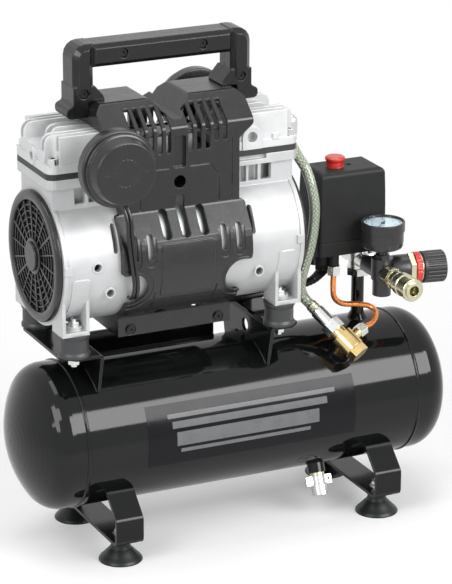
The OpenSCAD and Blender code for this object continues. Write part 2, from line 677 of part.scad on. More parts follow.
// ---------- cylinder heads ----------
fins = [[37.5, 5, 0], [29, 3, 0], [21, 3, 0], [5.5, 3, 15]];
pipe_y = 22;
pipe_r = 5;
module cylinder_head(side) {
    color("#b9bcbf") on_shaft(side) difference() {
        union() {
            rounded_box(head_in, head_out, -head_half, head_half, plate_z, flange_z, 8);
            box(head_in + 1.5, head_out - 1.5, -head_half + 1, head_half - 1, flange_z - 1, block_z);
            for (f = fins, m = [0, 1]) mirror([0, m, 0]) y_plate(f[0] - f[1] / 2, f[0] + f[1] / 2)
                polygon(rounded([[head_in + 1.5, block_z - 1], [head_out - 1.5 - f[2], block_z - 1],
                    [head_out - 1.5 - f[2], fin_z], [head_in + 1.5, fin_z]], [0, 0, 9, 5], 5));
            y_plate(-head_half - 1, -head_half + 6) {
                translate([port_x, port_z - 1]) circle(10);
                translate([port_x - 10, plate_z]) square([20, port_z - 1 - plate_z]);
            }
            translate([port_x, 0, port_z]) yrod(12, head_half - 6, head_half + 1);
            translate([head_out, 2, port_z - 4]) xrod(8.4, -6, 0.7);
            box(cyl_dx + 10, cyl_dx + 16, -head_half - 0.8, -head_half + 2, flange_z - 1, flange_z + 5);
        }
        for (m = [0, 1]) mirror([0, m, 0])
            box(head_in + 14, head_out - 14, 4, head_half - 12, plate_z - 1, plate_z + 15);
        head_corners() {
            zrod(head_bolt_r + seat_gap, plate_z - 1, flange_z + 1);
            zrod(6.6, flange_z, fin_z + 1);
        }
        for (y = [-bolt_y, bolt_y]) {
            box(bolt_out, head_out + 2, y - 6.6, y + 6.6, flange_z, fin_z + 1);
            box(head_in - 2, bolt_in, y - 6.6, y + 6.6, flange_z, fin_z + 1);
        }
        translate([port_x, 0, port_z - 1]) yrod(5, -head_half - 3, -head_half + 8);
        translate([port_x, 0, port_z]) yrod(5, head_half - 14, head_half + 3);
        translate([0, side * pipe_y, port_z]) xrod(pipe_r, head_in - 1, head_in + 15);
        translate([0, 2, port_z - 4]) xrod(4, head_out - 20, head_out + 2);
        translate([0, -1, port_z - 4]) box(head_out - 22, head_out - 14.5, -6, 3, -4, 4);
    }
}
module cylinder_head_left() { cylinder_head(-1); }
module cylinder_head_right() { cylinder_head(1); }
module head_bolts() {
    color("#8b8e92") for (side = [-1, 1]) on_shaft(side) head_corners() {
        zrod(head_bolt_r, deck_h - 8, flange_z + 1);
        translate([0, 0, flange_z]) difference() {
            zrod(5, 0, 6);
            translate([0, 0, 3]) hex(5, 4);
        }
    }
}

// ---------- intake filters ----------
shell_y0 = filter_y - filter_depth;
shell_y1 = filter_y - 15.5;
// Turns the children so that +Z runs out along the intake filter's axis
module at_filters() {
    both_ends() translate([filter_x, 0, shaft_z + port_z]) rotate([-90, 0, 0]) children();
}
module filter_shells() {
    color("#2c2d30") at_filters() rotate_extrude() polygon(concat([[5, head_half + 1], [9, head_half + 1],
        [9, shell_y0], [filter_r - 3, shell_y0]], arc(filter_r - 2, shell_y0 + 2, 2, -60, 0, 3),
        arc(filter_r - 2, shell_y1 - 2, 2, 0, 90, 4),
        [[filter_r - 4.2, shell_y1], [filter_r - 4.2, shell_y0 + 2.5], [5, shell_y0 + 2.5]]));
}
module filter_elements() {
    color("#c8c3b4") at_filters() zpipe(filter_disc_r - 4, 12, shell_y0 + 2.5, filter_y - 3.5);
}
// The cap steps in twice from the shell's rim to its round face
module filter_caps() {
    in = filter_r - 4.5;
    color("#2c2d30") at_filters() difference() {
        rotate_extrude() polygon(rounded([[0, shell_y1 - 1], [in, shell_y1 - 1], [in, shell_y1 + 0.4],
            [filter_r - 2.2, shell_y1 + 0.4], [filter_r - 2.2, shell_y1 + 3.4], [in, shell_y1 + 4.4],
            [filter_disc_r, filter_y], [0, filter_y]], [0, 0, 0, 0, 1.4, 0, 1.6, 0]));
        translate([0, 0, shell_y1 - 2]) cylinder(r1 = in - 3, r2 = filter_disc_r - 2.5, h = filter_y - shell_y1 - 0.5);
    }
}
module transfer_pipe() {
    color("#c4c7ca") translate([motor_x, pipe_y, shaft_z + port_z]) {
        difference() {
            union() {
                xrod(pipe_r, -head_in - 10, head_in + 10);
                for (x = [-head_in, head_in - 8]) translate([x, 0, 0]) rotate([0, 90, 0]) hex(14, 8);
            }
            xrod(pipe_r - 1.2, -head_in - 11, head_in + 11);
        }
    }
}
module capacitor() {
    color("#dcdcd6") translate([motor_x, 0, cap_z]) {
        xrod(cap_r, -31, 31);
        xrod(5, 31, 34);
    }
}

// ---------- moulded covers ----------
// Places on a cover are given from the motor's centre and the shaft's axis
skirt_z = -77.5;
skirt_y = 37;
crest_y = 23.4;
fold_z = cover_top - 23;
ramp_z = 44.5;
ear_z = -7.5;
// The side view of the front cover, t inside its outer face
function cover_side(t) = concat(
    [[0, cover_top - t], [0.4 * t - crest_y, cover_top - t], [t - cover_y, fold_z - 0.4 * t], [t - cover_y, ramp_z]],
    arc(0, 0, cover_r - t, 163, 238, 14),
    [[t - skirt_y, -58.5], [t - skirt_y, t > 0 ? skirt_z - 2 : skirt_z], [0, t > 0 ? skirt_z - 2 : skirt_z]]);
// The right half of the front view, t inside its outer face
function cover_half_view(t) = [
    [57 - t, t > 0 ? skirt_z - 2 : skirt_z], [57 - t, ear_z + t], [65 - t, ear_z + t], [65 - t, ramp_z - t],
    [cover_half - t, ramp_z - t], [cover_half - t, fold_z - 17 + 0.4 * t], [shoulder_half - t, fold_z - 5 + 0.4 * t],
    [shoulder_half - t, cover_top - 7 - 0.4 * t], [shoulder_half - 7 - 0.4 * t, cover_top - t],
    [20 + 0.4 * t, cover_top - t], [4 + 0.4 * t, cover_top - 17 - t]];
function mirrored(p) = concat(p, [for (q = reversed(p)) [-q[0], q[1]]]);
view_r = [0, 2, 2, 3, 1.5, 3, 4, 4, 4, 6, 2];
module cover_solid(t) {
    intersection() {
        x_plate(-80, 80) polygon(rounded(cover_side(t), concat([0, 5, 5, 4], [for (i = [0:14]) 0], [0, 0, 0]), 4));
        y_plate(-80, 0) polygon(rounded(mirrored(cover_half_view(t)), concat(view_r, reversed(view_r)), 4));
    }
}
// A recess in the belly, deep below its outer face, as drawn in the front view
module belly_recess(deep) {
    difference() {
        y_plate(-80, -30) children();
        xrod(cover_r - deep, -80, 80);
    }
}
module face_recess(deep) { y_plate(-cover_y - 1, deep - cover_y) children(); }
module line2(x0, z0, x1, z1, w) {
    u = unit([x1 - x0, z1 - z0]) * w / 2;
    n = [-u[1], u[0]];
    a = [x0, z0] - u;
    b = [x1, z1] + u;
    polygon([a - n, b - n, b + n, a + n]);
}
module cover(cable_notch) {
    difference() {
        union() {
            difference() {
                cover_solid(0);
                difference() {
                    cover_solid(cover_wall);
                    box(-9, 9, 1.5 - cover_y, 6.6 - cover_y, 79.9, 115.1);
                }
            }
            intersection() {
                y_plate(-80, -40) polygon(rounded([[-26, -33.5], [26, -33.5], [26, 17.5], [-26, 17.5]], [3, 3, 3, 3]));
                xpipe(cover_r + 1.2, cover_r - 1, -30, 30);
            }
            translate([0, 0, 69]) yrod(tie_r, 2 - cover_y, 0);
            for (x = [-44.5, 44.5]) translate([x, 0, -71.5]) yrod(4, 1.7 - skirt_y, 12 - skirt_y);
        }
        for (side = [-1, 1]) rotate([0, 0, side < 0 ? 180 : 0]) {
            xrod(barrel_r, case_in, case_out);
            xrod(stator_r, -1, case_in + 1);
            box(57.6, case_out + 1, -neck_half - seat_gap, neck_half + seat_gap, 0, deck_z);
            box(head_in - seat_gap, head_out, -head_half - seat_gap, head_half + seat_gap, deck_z - seat_gap, fin_z + seat_gap);
        }
        translate([0, 0, cap_z - shaft_z]) xrod(cap_r, -31, 31);
        translate([0, 0, 69]) {
            yrod(6, -cover_y - 1, -12);
            yrod(tie_screw_r, -14, 1);
        }
        for (m = [0, 1]) mirror([m, 0, 0]) {
            for (i = [0:louvres - 1]) let (x = 11 + louvre_pitch * i, low = i < 3 ? 97 : 103.5) {
                y_plate(-cover_y - 1, 4 - cover_y) translate([x, 0]) stadium(louvre_w, low, fold_z + 9);
                box(x - louvre_w / 2, x + louvre_w / 2, -cover_y + 4, -30, fold_z - 8, cover_top + 1);
            }
            y_plate(-80, -41) translate([55.5, -23.5]) circle(16.5);
            belly_recess(0.9) translate([55.5, -23.5]) difference() { circle(22); circle(18.5); }
            belly_recess(1.2) translate([36.8, 0]) stadium(11.5, -2.5, 30.5);
            belly_recess(1.2) translate([52, 0]) stadium(11.5, -2.5, 30.5);
            for (x = [36.8, 52]) y_plate(-80, -45) translate([x, 0]) stadium(5.5, 4, 27.5);
            belly_recess(0.9) line2(31, -30, 31, -56, 1.4);
            face_recess(0.8) {
                line2(11, 83, 30, 83, 1.3);
                line2(30, 83, 39.5, 70.5, 1.3);
                line2(39.5, 70.5, 39.5, ramp_z + 2, 1.3);
                line2(52.5, 103.5, 52.5, ramp_z + 2, 1.3);
            }
            y_plate(-80, -30) translate([18, -55.5]) polygon([[-5, -1], [4, -3], [5, 1], [-4, 3]]);
            translate([44.5, 0, -71.5]) {
                yrod(5.6, -skirt_y - 1, 1.4 - skirt_y);
                yrod(1.5, -skirt_y, -28);
            }
        }
        for (x = [-18.5, 18.5]) y_plate(-80, -42) translate([x, 0]) stadium(8.5, 20.5, 45.5);
        y_plate(-80, -42) stadium(8.5, 20.5, 57.5);
        face_recess(4) polygon(rounded([[-6.25, 82.5], [6.25, 82.5], [6.25, 112.5], [-6.25, 112.5]], [2, 2, 2, 2]));
        if (cable_notch) box(-60, -50, -17, -4, skirt_z - 1, -68.5);
    }
    for (m = [0, 1]) mirror([m, 0, 0])
        box(8.6, 50, cover_wall - cover_y - 0.2, cover_wall - cover_y + 2, fold_z - 7.5, fold_z - 5);
}
module at_motor(turn) { translate([motor_x, 0, shaft_z]) rotate([0, 0, turn]) children(); }
module front_cover() { color("#3a3b3e") at_motor(0) cover(false); }
module rear_cover() { color("#3a3b3e") at_motor(180) cover(true); }

// ---------- handle ----------
grip_top = handle_top;
grip_low = grip_top - grip_h;
leg_in = handle_half - leg_w;
foot_low = cover_top - 4.5;
// A block as deep as the handle, with its front edges taken off by c
module soft_block(points, face, c) {
    hull() {
        y_plate(c - face, 0) polygon(points);
        y_plate(-face, 1 - face) offset(delta = -c) polygon(points);
    }
}
leg_mid = handle_half - leg_w / 2;
handle_screws = [[-leg_mid, foot_low + 12], [leg_mid, foot_low + 12],
    [-39.5, handle_top - 11], [39.5, handle_top - 11]];
knuckle_low = cover_top - 14.5;
knuckle_out = handle_half + 7;
module handle_half_shell() {
    foot = [[shoulder_half + 0.5, knuckle_low], [knuckle_out, knuckle_low], [knuckle_out, knuckle_low + 9],
        [handle_half + 0.4, knuckle_low + 12], [handle_half + 0.4, foot_low + 19], [leg_in - 0.4, foot_low + 19],
        [60, cover_top + 5], [58, cover_top], [shoulder_half + 0.5, cover_top]];
    difference() {
        union() {
            for (m = [0, 1]) mirror([m, 0, 0]) {
                soft_block(rounded([[leg_in, foot_low + 8], [handle_half, foot_low + 8], [handle_half, grip_top],
                    [leg_in, grip_top]], [0, 0, 13, 0]), handle_d, 5);
                y_plate(1.5 - handle_d, 0) polygon(rounded(foot, [1, 4.4, 4.4, 3, 0, 0, 3, 1, 0]));
            }
            soft_block([[-leg_in - 2, grip_low], [leg_in + 2, grip_low], [leg_in + 2, grip_top - 0.6],
                [-leg_in - 2, grip_top - 0.6]], handle_d - 0.6, 4);
        }
        box(-50, 50, 2.6 - handle_d, 1, grip_low + 3, grip_top - 6);
        for (x = [leg_in + 3, 3 - handle_half]) box(x, x + leg_w - 6, 2.6 - handle_d, 1, foot_low + 20, grip_low - 2);
        for (q = handle_screws) translate([q[0], 0, q[1]]) {
            yrod(2, -handle_d, 1);
            yrod(4.5, -handle_d - 1, -handle_d + 5);
        }
    }
}
module handle_front() { color("#2e2f32") at_motor(0) handle_half_shell(); }
module handle_rear() { color("#2e2f32") at_motor(180) handle_half_shell(); }
module screw(r, head, y0, y1) {
    yrod(r, y0, y1);
    difference() {
        yrod(head, y0 - 2.5, y0);
        yrod(1.6, y0 - 3, y0 - 1.2);
    }
}
module case_screws() {
    color("#a9acb0") {
        at_motor(0) {
            translate([0, 0, 69]) screw(tie_screw_r, 4, -12, 10);
            for (q = handle_screws) translate([q[0], 0, q[1]]) screw(2, 4, 5 - handle_d, handle_d - 6);
        }
        for (turn = [0, 180], x = [-44.5, 44.5]) at_motor(turn) translate([x, 0, -71.5])
            screw(1.5, 4, 1.4 - skirt_y, -29);
    }
}

// ---------- check valve, hose and unloader pipe ----------
// Origin on the boss, +X along the valve's own axis, +Y to the unloader port
module at_check() { on_skin(check_x, check_turn) translate([0, 0, 22]) rotate([0, 0, -64.5]) children(); }
poppet_travel = 3;
module check_valve_body() {
    color("#b48a3c") at_check() difference() {
        union() {
            zrod(7, boss_h - 22, 0);
            xrod(7.4, -13, -5);
            xrod(10.6, -7, 11);
            translate([10, 0, 0]) rotate([0, 90, 0]) hex(17, 9);
            yrod(5.5, 0, 16);
        }
        xrod(5.5, -6, 16);
        xrod(3, -14, -5);
        zrod(3.5, boss_h - 23, 0);
        yrod(2.2, 0, 17);
    }
}
module check_valve_poppet() {
    color("#d8d9db") at_check() {
        xrod(5.5 - run_fit, -5.95, -1);
        xrod(2.5, -1, 5);
        xpipe(4.6, 3.8, 5, 12.5);
        xrod(4.6, 4, 5);
    }
}
hose_r = 5;
hose_path = [[66, 2, 377.3], [66, 2, 371], [66.4, -1.4, 364.5], [68.6, -10, 356], [74, -20, 341], [77.5, -27, 316],
    [77.5, -27, 292], [74.5, -25, 268], [70, -22, 249], [67.5, -20, 231], [71, -20.5, 219]];
function check_point(x) = let (u = [0.4305, -0.6914, -0.5802]) [check_x, -59.14, 183.47] + x * u;
module hose() { color("#9da39b") sweep(spline(concat(hose_path, [check_point(-47), check_point(-41.5)]), 4), hose_r, 12); }
module pipe_nuts() {
    color("#c9a85a") {
        at_check() {
            difference() {
                translate([-24, 0, 0]) rotate([0, 90, 0]) hex(17, 11);
                xrod(3, -30, -12);
            }
            difference() {
                xrod(7, -41, -24);
                xrod(3, -42, -23);
            }
            difference() {
                translate([0, 16, 0]) rotate([-90, 0, 0]) hex(11, 9);
                yrod(tube_r, 15, 26);
            }
        }
        translate([switch_gland_x, unload_y, 0]) difference() {
            translate([0, 0, unload_z]) hex(11, 9);
            zrod(tube_r, unload_z - 1, unload_z + 10);
        }
        translate([motor_x + head_out + 0.7, 2, shaft_z + port_z - 4]) difference() {
            union() {
                rotate([0, 90, 0]) hex(16, 6);
                xrod(6, 6, 13);
                translate([12, 0, 0]) sphere(6.6);
                translate([12, 0, 0]) mirror([0, 0, 1]) cylinder(r = 6.6, h = 10.2);
            }
            xrod(3, -1, 12);
            translate([12, 0, 0]) zrod(3, -11, 0);
        }
    }
}
tube_r = 2.75;
switch_gland_x = 103;
unload_y = -19.5;
unload_z = switch_z - 20;
unload_path = [[130, -46.5, 191.5], [138, -40, 194.5], [142, -32, 198.5], [138.5, -25.5, 202], [128, -20.5, 203.5],
    [113, -18.5, 206], [105, -18, 213], [103, -18.8, 224]];
module unloader_pipe() {
    p = concat([[118.3, -51.5, 190.0], [122.8, -49.9, 191.3]], unload_path, [[103, -19.5, 236], [103, -19.5, 246]]);
    color("#c8763f") sweep(spline(p, 4), tube_r, 8);
}

// ---------- manifold and safety valve ----------
arm_z = reg_z - 1;
module manifold() {
    color("#bfb48a") translate([riser_x, 0, 0]) difference() {
        union() {
            zrod(9.5, manifold_z + 6, switch_z - 5);
            translate([0, 0, manifold_z]) hex(20, 7);
            translate([0, 0, switch_z - 5]) hex(20, 5);
            translate([0, 0, arm_z]) yrod(7.5, -20, 18);
            translate([0, 0, arm_z]) xrod(6, 0, 14);
            translate([14, 0, arm_z]) rotate([0, 90, 0]) hex(10, 4);
        }
        zrod(4, manifold_z - 1, switch_z + 1);
        translate([0, 0, arm_z]) yrod(4, -21, 19);
    }
}
ring_travel = 2;
module at_safety() { translate([riser_x, 18, arm_z]) rotate([-90, 0, 0]) children(); }
module safety_valve() {
    color("#b48a3c") at_safety() difference() {
        union() {
            hex(14, 7);
            zrod(6, 7, 24);
        }
        zrod(3.5, -1, 19);
        zrod(1.5 + run_fit, 18, 25);
        for (a = [0, 90]) rotate([0, 0, a]) translate([-8, -1.2, 10]) cube([16, 2.4, 4]);
    }
}
module safety_ring() {
    color("#c9ccd0") at_safety() {
        zrod(1.5, 15, 29);
        zrod(3, 14, 15.5);
        translate([0, 0, 34.2]) rotate([90, 0, 0]) rotate_extrude() translate([6, 0]) circle(0.9, $fn = 24);
    }
}

// ---------- pressure switch ----------
switch_x = riser_x - 18.4;
gland_x = switch_x - 21.7;
gland_y = [-4.5, 15];
button_x = switch_x - 8.5;
switch_top = switch_z + switch_h;
module tapered(w0, d0, w1, d1, z0, z1, r) {
    intersection() {
        y_plate(-d0, d0) polygon(rounded([[-w0 / 2, z0], [w0 / 2, z0], [w1 / 2, z1], [-w1 / 2, z1]], [0, 0, r, r], 5));
        x_plate(-w0, w0) polygon(rounded([[-d0 / 2, z0], [d0 / 2, z0], [d1 / 2, z1], [-d1 / 2, z1]], [0, 0, r, r], 5));
        rounded_box(-w0 / 2, w0 / 2, -d0 / 2, d0 / 2, z0 - 1, z1 + 1, 4);
    }
}
module switch_base() {
    top = switch_z + switch_base_h;
    color("#232427") difference() {
        union() {
            translate([switch_x, 0, 0]) rounded_box(-switch_w / 2, switch_w / 2, -switch_d / 2, switch_d / 2, switch_z, top, 4);
            for (y = gland_y) translate([gland_x, y, 0]) {
                zrod(9.3, switch_z - 12.5, switch_z + 1);
                translate([0, 0, switch_z - 18]) hex(15, 5.6);
            }
            translate([switch_gland_x, unload_y, 0]) zrod(5, unload_z + 9, switch_z + 1);
        }
        translate([switch_x, 0, 0]) box(-switch_w / 2 + 3, switch_w / 2 - 3, -switch_d / 2 + 3, switch_d / 2 - 3, switch_z + 4, top + 1);
        for (y = gland_y) translate([gland_x, y, 0]) zrod(3.5, switch_z - 19, switch_z + 5);
        translate([switch_gland_x, unload_y, 0]) zrod(tube_r, unload_z + 8, switch_z - 11);
        translate([riser_x, 0, 0]) zrod(4, switch_z - 1, switch_z + 5);
    }
}
module switch_cover() {
    base = switch_z + switch_base_h;
    color("#232427") difference() {
        translate([switch_x, 0, 0]) tapered(switch_w - 1, switch_d - 1, switch_w - 6, switch_d - 3.6, base, switch_top, 5);
        translate([switch_x, 0, 0]) tapered(switch_w - 6, switch_d - 6, switch_w - 11, switch_d - 9, base - 0.01, switch_top - 2.6, 2);
        translate([button_x, 0, 0]) zrod(button_r - 1 + run_fit, switch_top - 5, switch_top + 1);
        translate([switch_x + 6, 0, 0]) zrod(2.5, switch_top - 5, switch_top + 1);
    }
}
module switch_button() {
    color("#c0241f") translate([button_x, 0, switch_top]) {
        zrod(button_r - 1, -16, 0.5);
        rotate_extrude() polygon(rounded([[0, 0], [button_r - 1.2, 0], [button_r - 1.5, button_travel + 0.6],
            [button_r, button_travel + 2], [button_r, button_travel + 4], [button_r - 1.8, button_travel + 5.2],
            [0, button_travel + 5.2]], [0, 0, 3, 0.8, 0.8, 1, 0]));
    }
}

// ---------- regulator, gauge and coupler ----------
arm_y = -20;
module at_regulator() { translate([riser_x + 1.3, -reg_y, 0]) children(); }
module at_knob() { at_regulator() translate([0, 0, reg_z]) rotate([0, 0, -reg_turn]) children(); }
knob_x = 38.2;
knob_len = 23;
stem_r = 3;
module regulator_body() {
    color("#b9b192") difference() {
        union() {
            at_regulator() {
                zrod(8.9, reg_z - 24, reg_z - 6);
                zrod(10.5, reg_z - 8, reg_z + 13);
                translate([0, 0, reg_z + 13]) hex(13, 3.5);
                translate([0, 0, reg_z - 1]) yrod(8, -12.5, 0);
            }
            translate([riser_x, 0, arm_z]) yrod(8.5, 4 - reg_y, arm_y);
            at_knob() {
                translate([8, 0, 0]) rotate([0, 90, 0]) cylinder(r1 = 9, r2 = 14, h = 17);
                translate([25, 0, 0]) rotate([0, 90, 0]) hex(26, 6);
                xrod(12.5, 31, knob_x - 1);
            }
        }
        at_regulator() {
            zrod(4, reg_z - 20, reg_z + 17);
            translate([0, 0, reg_z - 1]) yrod(4, -13, 0);
        }
        translate([riser_x, 0, arm_z]) yrod(4, -reg_y, arm_y + 1);
        at_knob() {
            xrod(4, 0, 20);
            xrod(9, 19, knob_x - 5);
            xrod(stem_r + run_fit, knob_x - 6, knob_x);
        }
    }
}
module regulator_knob() {
    color("#242528") at_knob() {
        difference() {
            union() {
                xrod(knob_r, knob_x + 1, knob_x + knob_len);
                xrod(knob_r - 1.5, knob_x, knob_x + 1);
            }
            for (i = [0:23]) rotate([i * 15, 0, 0]) translate([0, 0, knob_r + 0.6])
                xrod(1.4, knob_x + 4, knob_x + knob_len + 1);
            xpipe(knob_r + 2, knob_r - 1, knob_x + knob_len - 1, knob_x + knob_len + 1);
        }
        xrod(stem_r, knob_x - 14, knob_x + 0.5);
        xrod(7, knob_x - 17, knob_x - 14);
    }
}
gauge_z = reg_z + 27;
gauge_top = gauge_z + gauge_h;
dial_z = gauge_top - 6;
module gauge_case() {
    color("#1f2023") at_regulator() difference() {
        union() {
            zrod(5, reg_z + 16.5, reg_z + 23);
            translate([0, 0, reg_z + 22]) hex(12, 5);
            rotate_extrude() polygon(rounded([[0, gauge_z], [gauge_r - 1, gauge_z], [gauge_r - 1, gauge_top - 9],
                [gauge_r, gauge_top - 9], [gauge_r, gauge_top], [0, gauge_top]], [0, 3, 0, 0, 1, 0]));
        }
        zrod(gauge_r - 2.6, dial_z, gauge_top - 2.5);
        zrod(gauge_r - 2, gauge_top - 2.5, gauge_top + 1);
        zrod(1.5, reg_z + 16, gauge_z + 3);
    }
    color("#1f2023") at_regulator() zrod(1, dial_z - 0.5, dial_z + 2.8);
}
module gauge_needle() {
    color("#b5322a") at_regulator() translate([0, 0, dial_z + 0.9]) rotate([0, 0, 225]) {
        zpipe(2.2, 1 + run_fit, 0, 1.6);
        box(1.9, 14, -0.6, 0.6, 0.3, 1.1);
        box(-6, -1.9, -0.9, 0.9, 0.3, 1.1);
    }
}
module gauge_lens() {
    color("#cfe4ea") at_regulator() zrod(gauge_r - 2, gauge_top - 2.5, gauge_top - 1);
}
coupler_in = reg_y + 12.5;
stop_y = coupler_y - 29;
module coupler_body() {
    color("#c3b98f") translate([riser_x + 1.3, 0, reg_z - 1]) difference() {
        union() {
            translate([0, -coupler_in, 0]) rotate([90, 0, 0]) hex(17, 11);
            yrod(6.5, 5 - stop_y, -coupler_in - 11);
            yrod(9.5, -stop_y, 6 - stop_y);
            yrod(8, -coupler_y, -stop_y);
        }
        yrod(socket_r, -coupler_y - 1, 22 - coupler_y);
        yrod(3, -coupler_y, -coupler_in + 1);
    }
}
module coupler_sleeve() {
    y0 = 2 - coupler_y;
    color("#cfc59b") translate([riser_x + 1.3, 0, reg_z - 1]) rotate([-90, 0, 0]) rotate_extrude() polygon([
        [8 + run_fit, y0], [10.5, y0], [11, y0 + 0.6], [11, y0 + 4], [10.2, y0 + 5], [10.2, y0 + 15], [11, y0 + 16],
        [11, -stop_y - sleeve_travel - 0.4], [8 + run_fit, -stop_y - sleeve_travel - 0.4]]);
}

// ---------- drain cock ----------
module at_drain() { on_skin(drain_x, drain_turn) translate([0, 0, drain_boss]) children(); }
module drain_valve() {
    color("#cfc59b") at_drain() difference() {
        union() {
            zrod(7, 0, 3);
            zrod(4, 3, 20);
        }
        zrod(2, -1, 21);
    }
}
module drain_lever() {
    color("#9b9da0") at_drain() difference() {
        union() {
            zrod(7, 3.1, 11);
            zrod(8.2, 11, 22);
            translate([-13.5, -1.75, 3.1]) cube([27, 3.5, 9]);
        }
        zrod(4 + run_fit, 3, 19.5);
        translate([0, 0, 18]) zrod(4 + run_fit, 0, 2.2);
        zrod(2, 19, 23);
        translate([10.5, -3, 7.5]) rotate([-90, 0, 0]) cylinder(r = 1.5, h = 6);
    }
}

// ---------- cables ----------
cable_r = 3.5;
motor_cable = [[99.5, -4.5, 238], [93, 4, 226], [80, 10, 219.5], [60, 11, 217.5], [30, 10.5, 217], [5, 10.5, 217],
    [-12, 10.5, 217], [-24, 9, 219], [-30, 6, 226]];
twin_lead = [[-139, -37.9, 355.5], [-138.6, -44, 356.6], [-136, -55, 356], [-133.5, -65, 349], [-131.5, -70.5, 337],
    [-131, -72.2, 320], [-129, -73.1, 300], [-126, -72.4, 279], [-125.2, -69.5, 267], [-125.2, -63.6, 260.6], [-125.2, -57.3, 259.4]];
module cables() {
    color("#1d1e20") {
        sweep(spline(motor_cable, 4), cable_r, 8);
        for (dx = [-1.9, 1.9]) sweep([for (q = spline(twin_lead, 4)) q + [dx, 0, 0]], 1.75, 8);
    }
}

tank_shell();
tank_heads();
riser_pipe();
foot_strap_left();
foot_strap_right();
foot_cups();
foot_bolts();
mount_bracket_left();
mount_bracket_right();
rubber_mounts();
mount_nuts();
crankcase_left();
crankcase_right();
stator_core();
stator_windings();
shaft_bearings();
motor_shaft();
rotor_core();
eccentrics();
cooling_fans();
fan_cover_left();
fan_cover_right();
piston_rod_left();
piston_rod_right();
cylinder_sleeves();
valve_plates();
cylinder_head_left();
cylinder_head_right();
head_bolts();
filter_shells();
filter_elements();
filter_caps();
transfer_pipe();
capacitor();
front_cover();
rear_cover();
handle_front();
handle_rear();
case_screws();
cables();
hose();
pipe_nuts();
check_valve_body();
check_valve_poppet();
unloader_pipe();
manifold();
safety_valve();
safety_ring();
switch_base();
switch_cover();
switch_button();
regulator_body();
regulator_knob();
gauge_case();
gauge_needle();
gauge_lens();
coupler_body();
coupler_sleeve();
drain_valve();
drain_lever();
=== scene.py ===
"""Looks for the twin-cylinder air compressor. All places are in metres, in the CAD frame:
X along the tank, -Y the front, +Z up, the floor at Z = 0."""

import json
import math

import bmesh
import bpy
from mathutils import Matrix, Quaternion, Vector


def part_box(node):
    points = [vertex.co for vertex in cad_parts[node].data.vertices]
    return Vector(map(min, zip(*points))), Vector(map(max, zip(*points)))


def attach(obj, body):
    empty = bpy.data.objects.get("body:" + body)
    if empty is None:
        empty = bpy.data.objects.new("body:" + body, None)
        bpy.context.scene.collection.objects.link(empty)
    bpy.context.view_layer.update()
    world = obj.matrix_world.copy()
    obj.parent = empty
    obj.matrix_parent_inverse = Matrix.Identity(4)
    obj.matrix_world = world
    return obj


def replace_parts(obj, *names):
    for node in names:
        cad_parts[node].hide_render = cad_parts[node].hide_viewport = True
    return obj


MM = 0.001

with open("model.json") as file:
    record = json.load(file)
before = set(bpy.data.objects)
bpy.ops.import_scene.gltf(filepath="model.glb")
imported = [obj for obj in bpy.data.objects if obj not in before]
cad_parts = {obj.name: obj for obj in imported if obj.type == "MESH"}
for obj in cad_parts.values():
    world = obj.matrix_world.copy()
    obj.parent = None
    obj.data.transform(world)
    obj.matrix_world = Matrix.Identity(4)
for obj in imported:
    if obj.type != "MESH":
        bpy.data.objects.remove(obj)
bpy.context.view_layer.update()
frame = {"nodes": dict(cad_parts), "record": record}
NODES = frame["nodes"]

# ---------- camera ----------
AZIMUTH = math.radians(-25.4)
ELEVATION = math.radians(19.13)
ROLL = math.radians(0.21)
TARGET = Vector((-0.0015, 0, 0.2282))
DISTANCE = 2.8068
LENS = 182.4


def add_camera():
    back = Vector((
        math.sin(AZIMUTH) * math.cos(ELEVATION),
        -math.cos(AZIMUTH) * math.cos(ELEVATION),
        math.sin(ELEVATION),
    ))
    data = bpy.data.cameras.new("camera")
    data.lens = LENS
    data.sensor_width = 36
    camera = bpy.data.objects.new("camera", data)
    bpy.context.scene.collection.objects.link(camera)
    camera.location = TARGET + DISTANCE * back
    camera.rotation_mode = "QUATERNION"
    camera.rotation_quaternion = back.to_track_quat("Z", "Y") @ Quaternion((0, 0, 1), ROLL)
    bpy.context.scene.camera = camera


# ---------- node helpers ----------
def new_material(name):
    material = bpy.data.materials.new(name)
    material.use_nodes = True
    material.node_tree.nodes.clear()
    return material, Graph(material.node_tree)


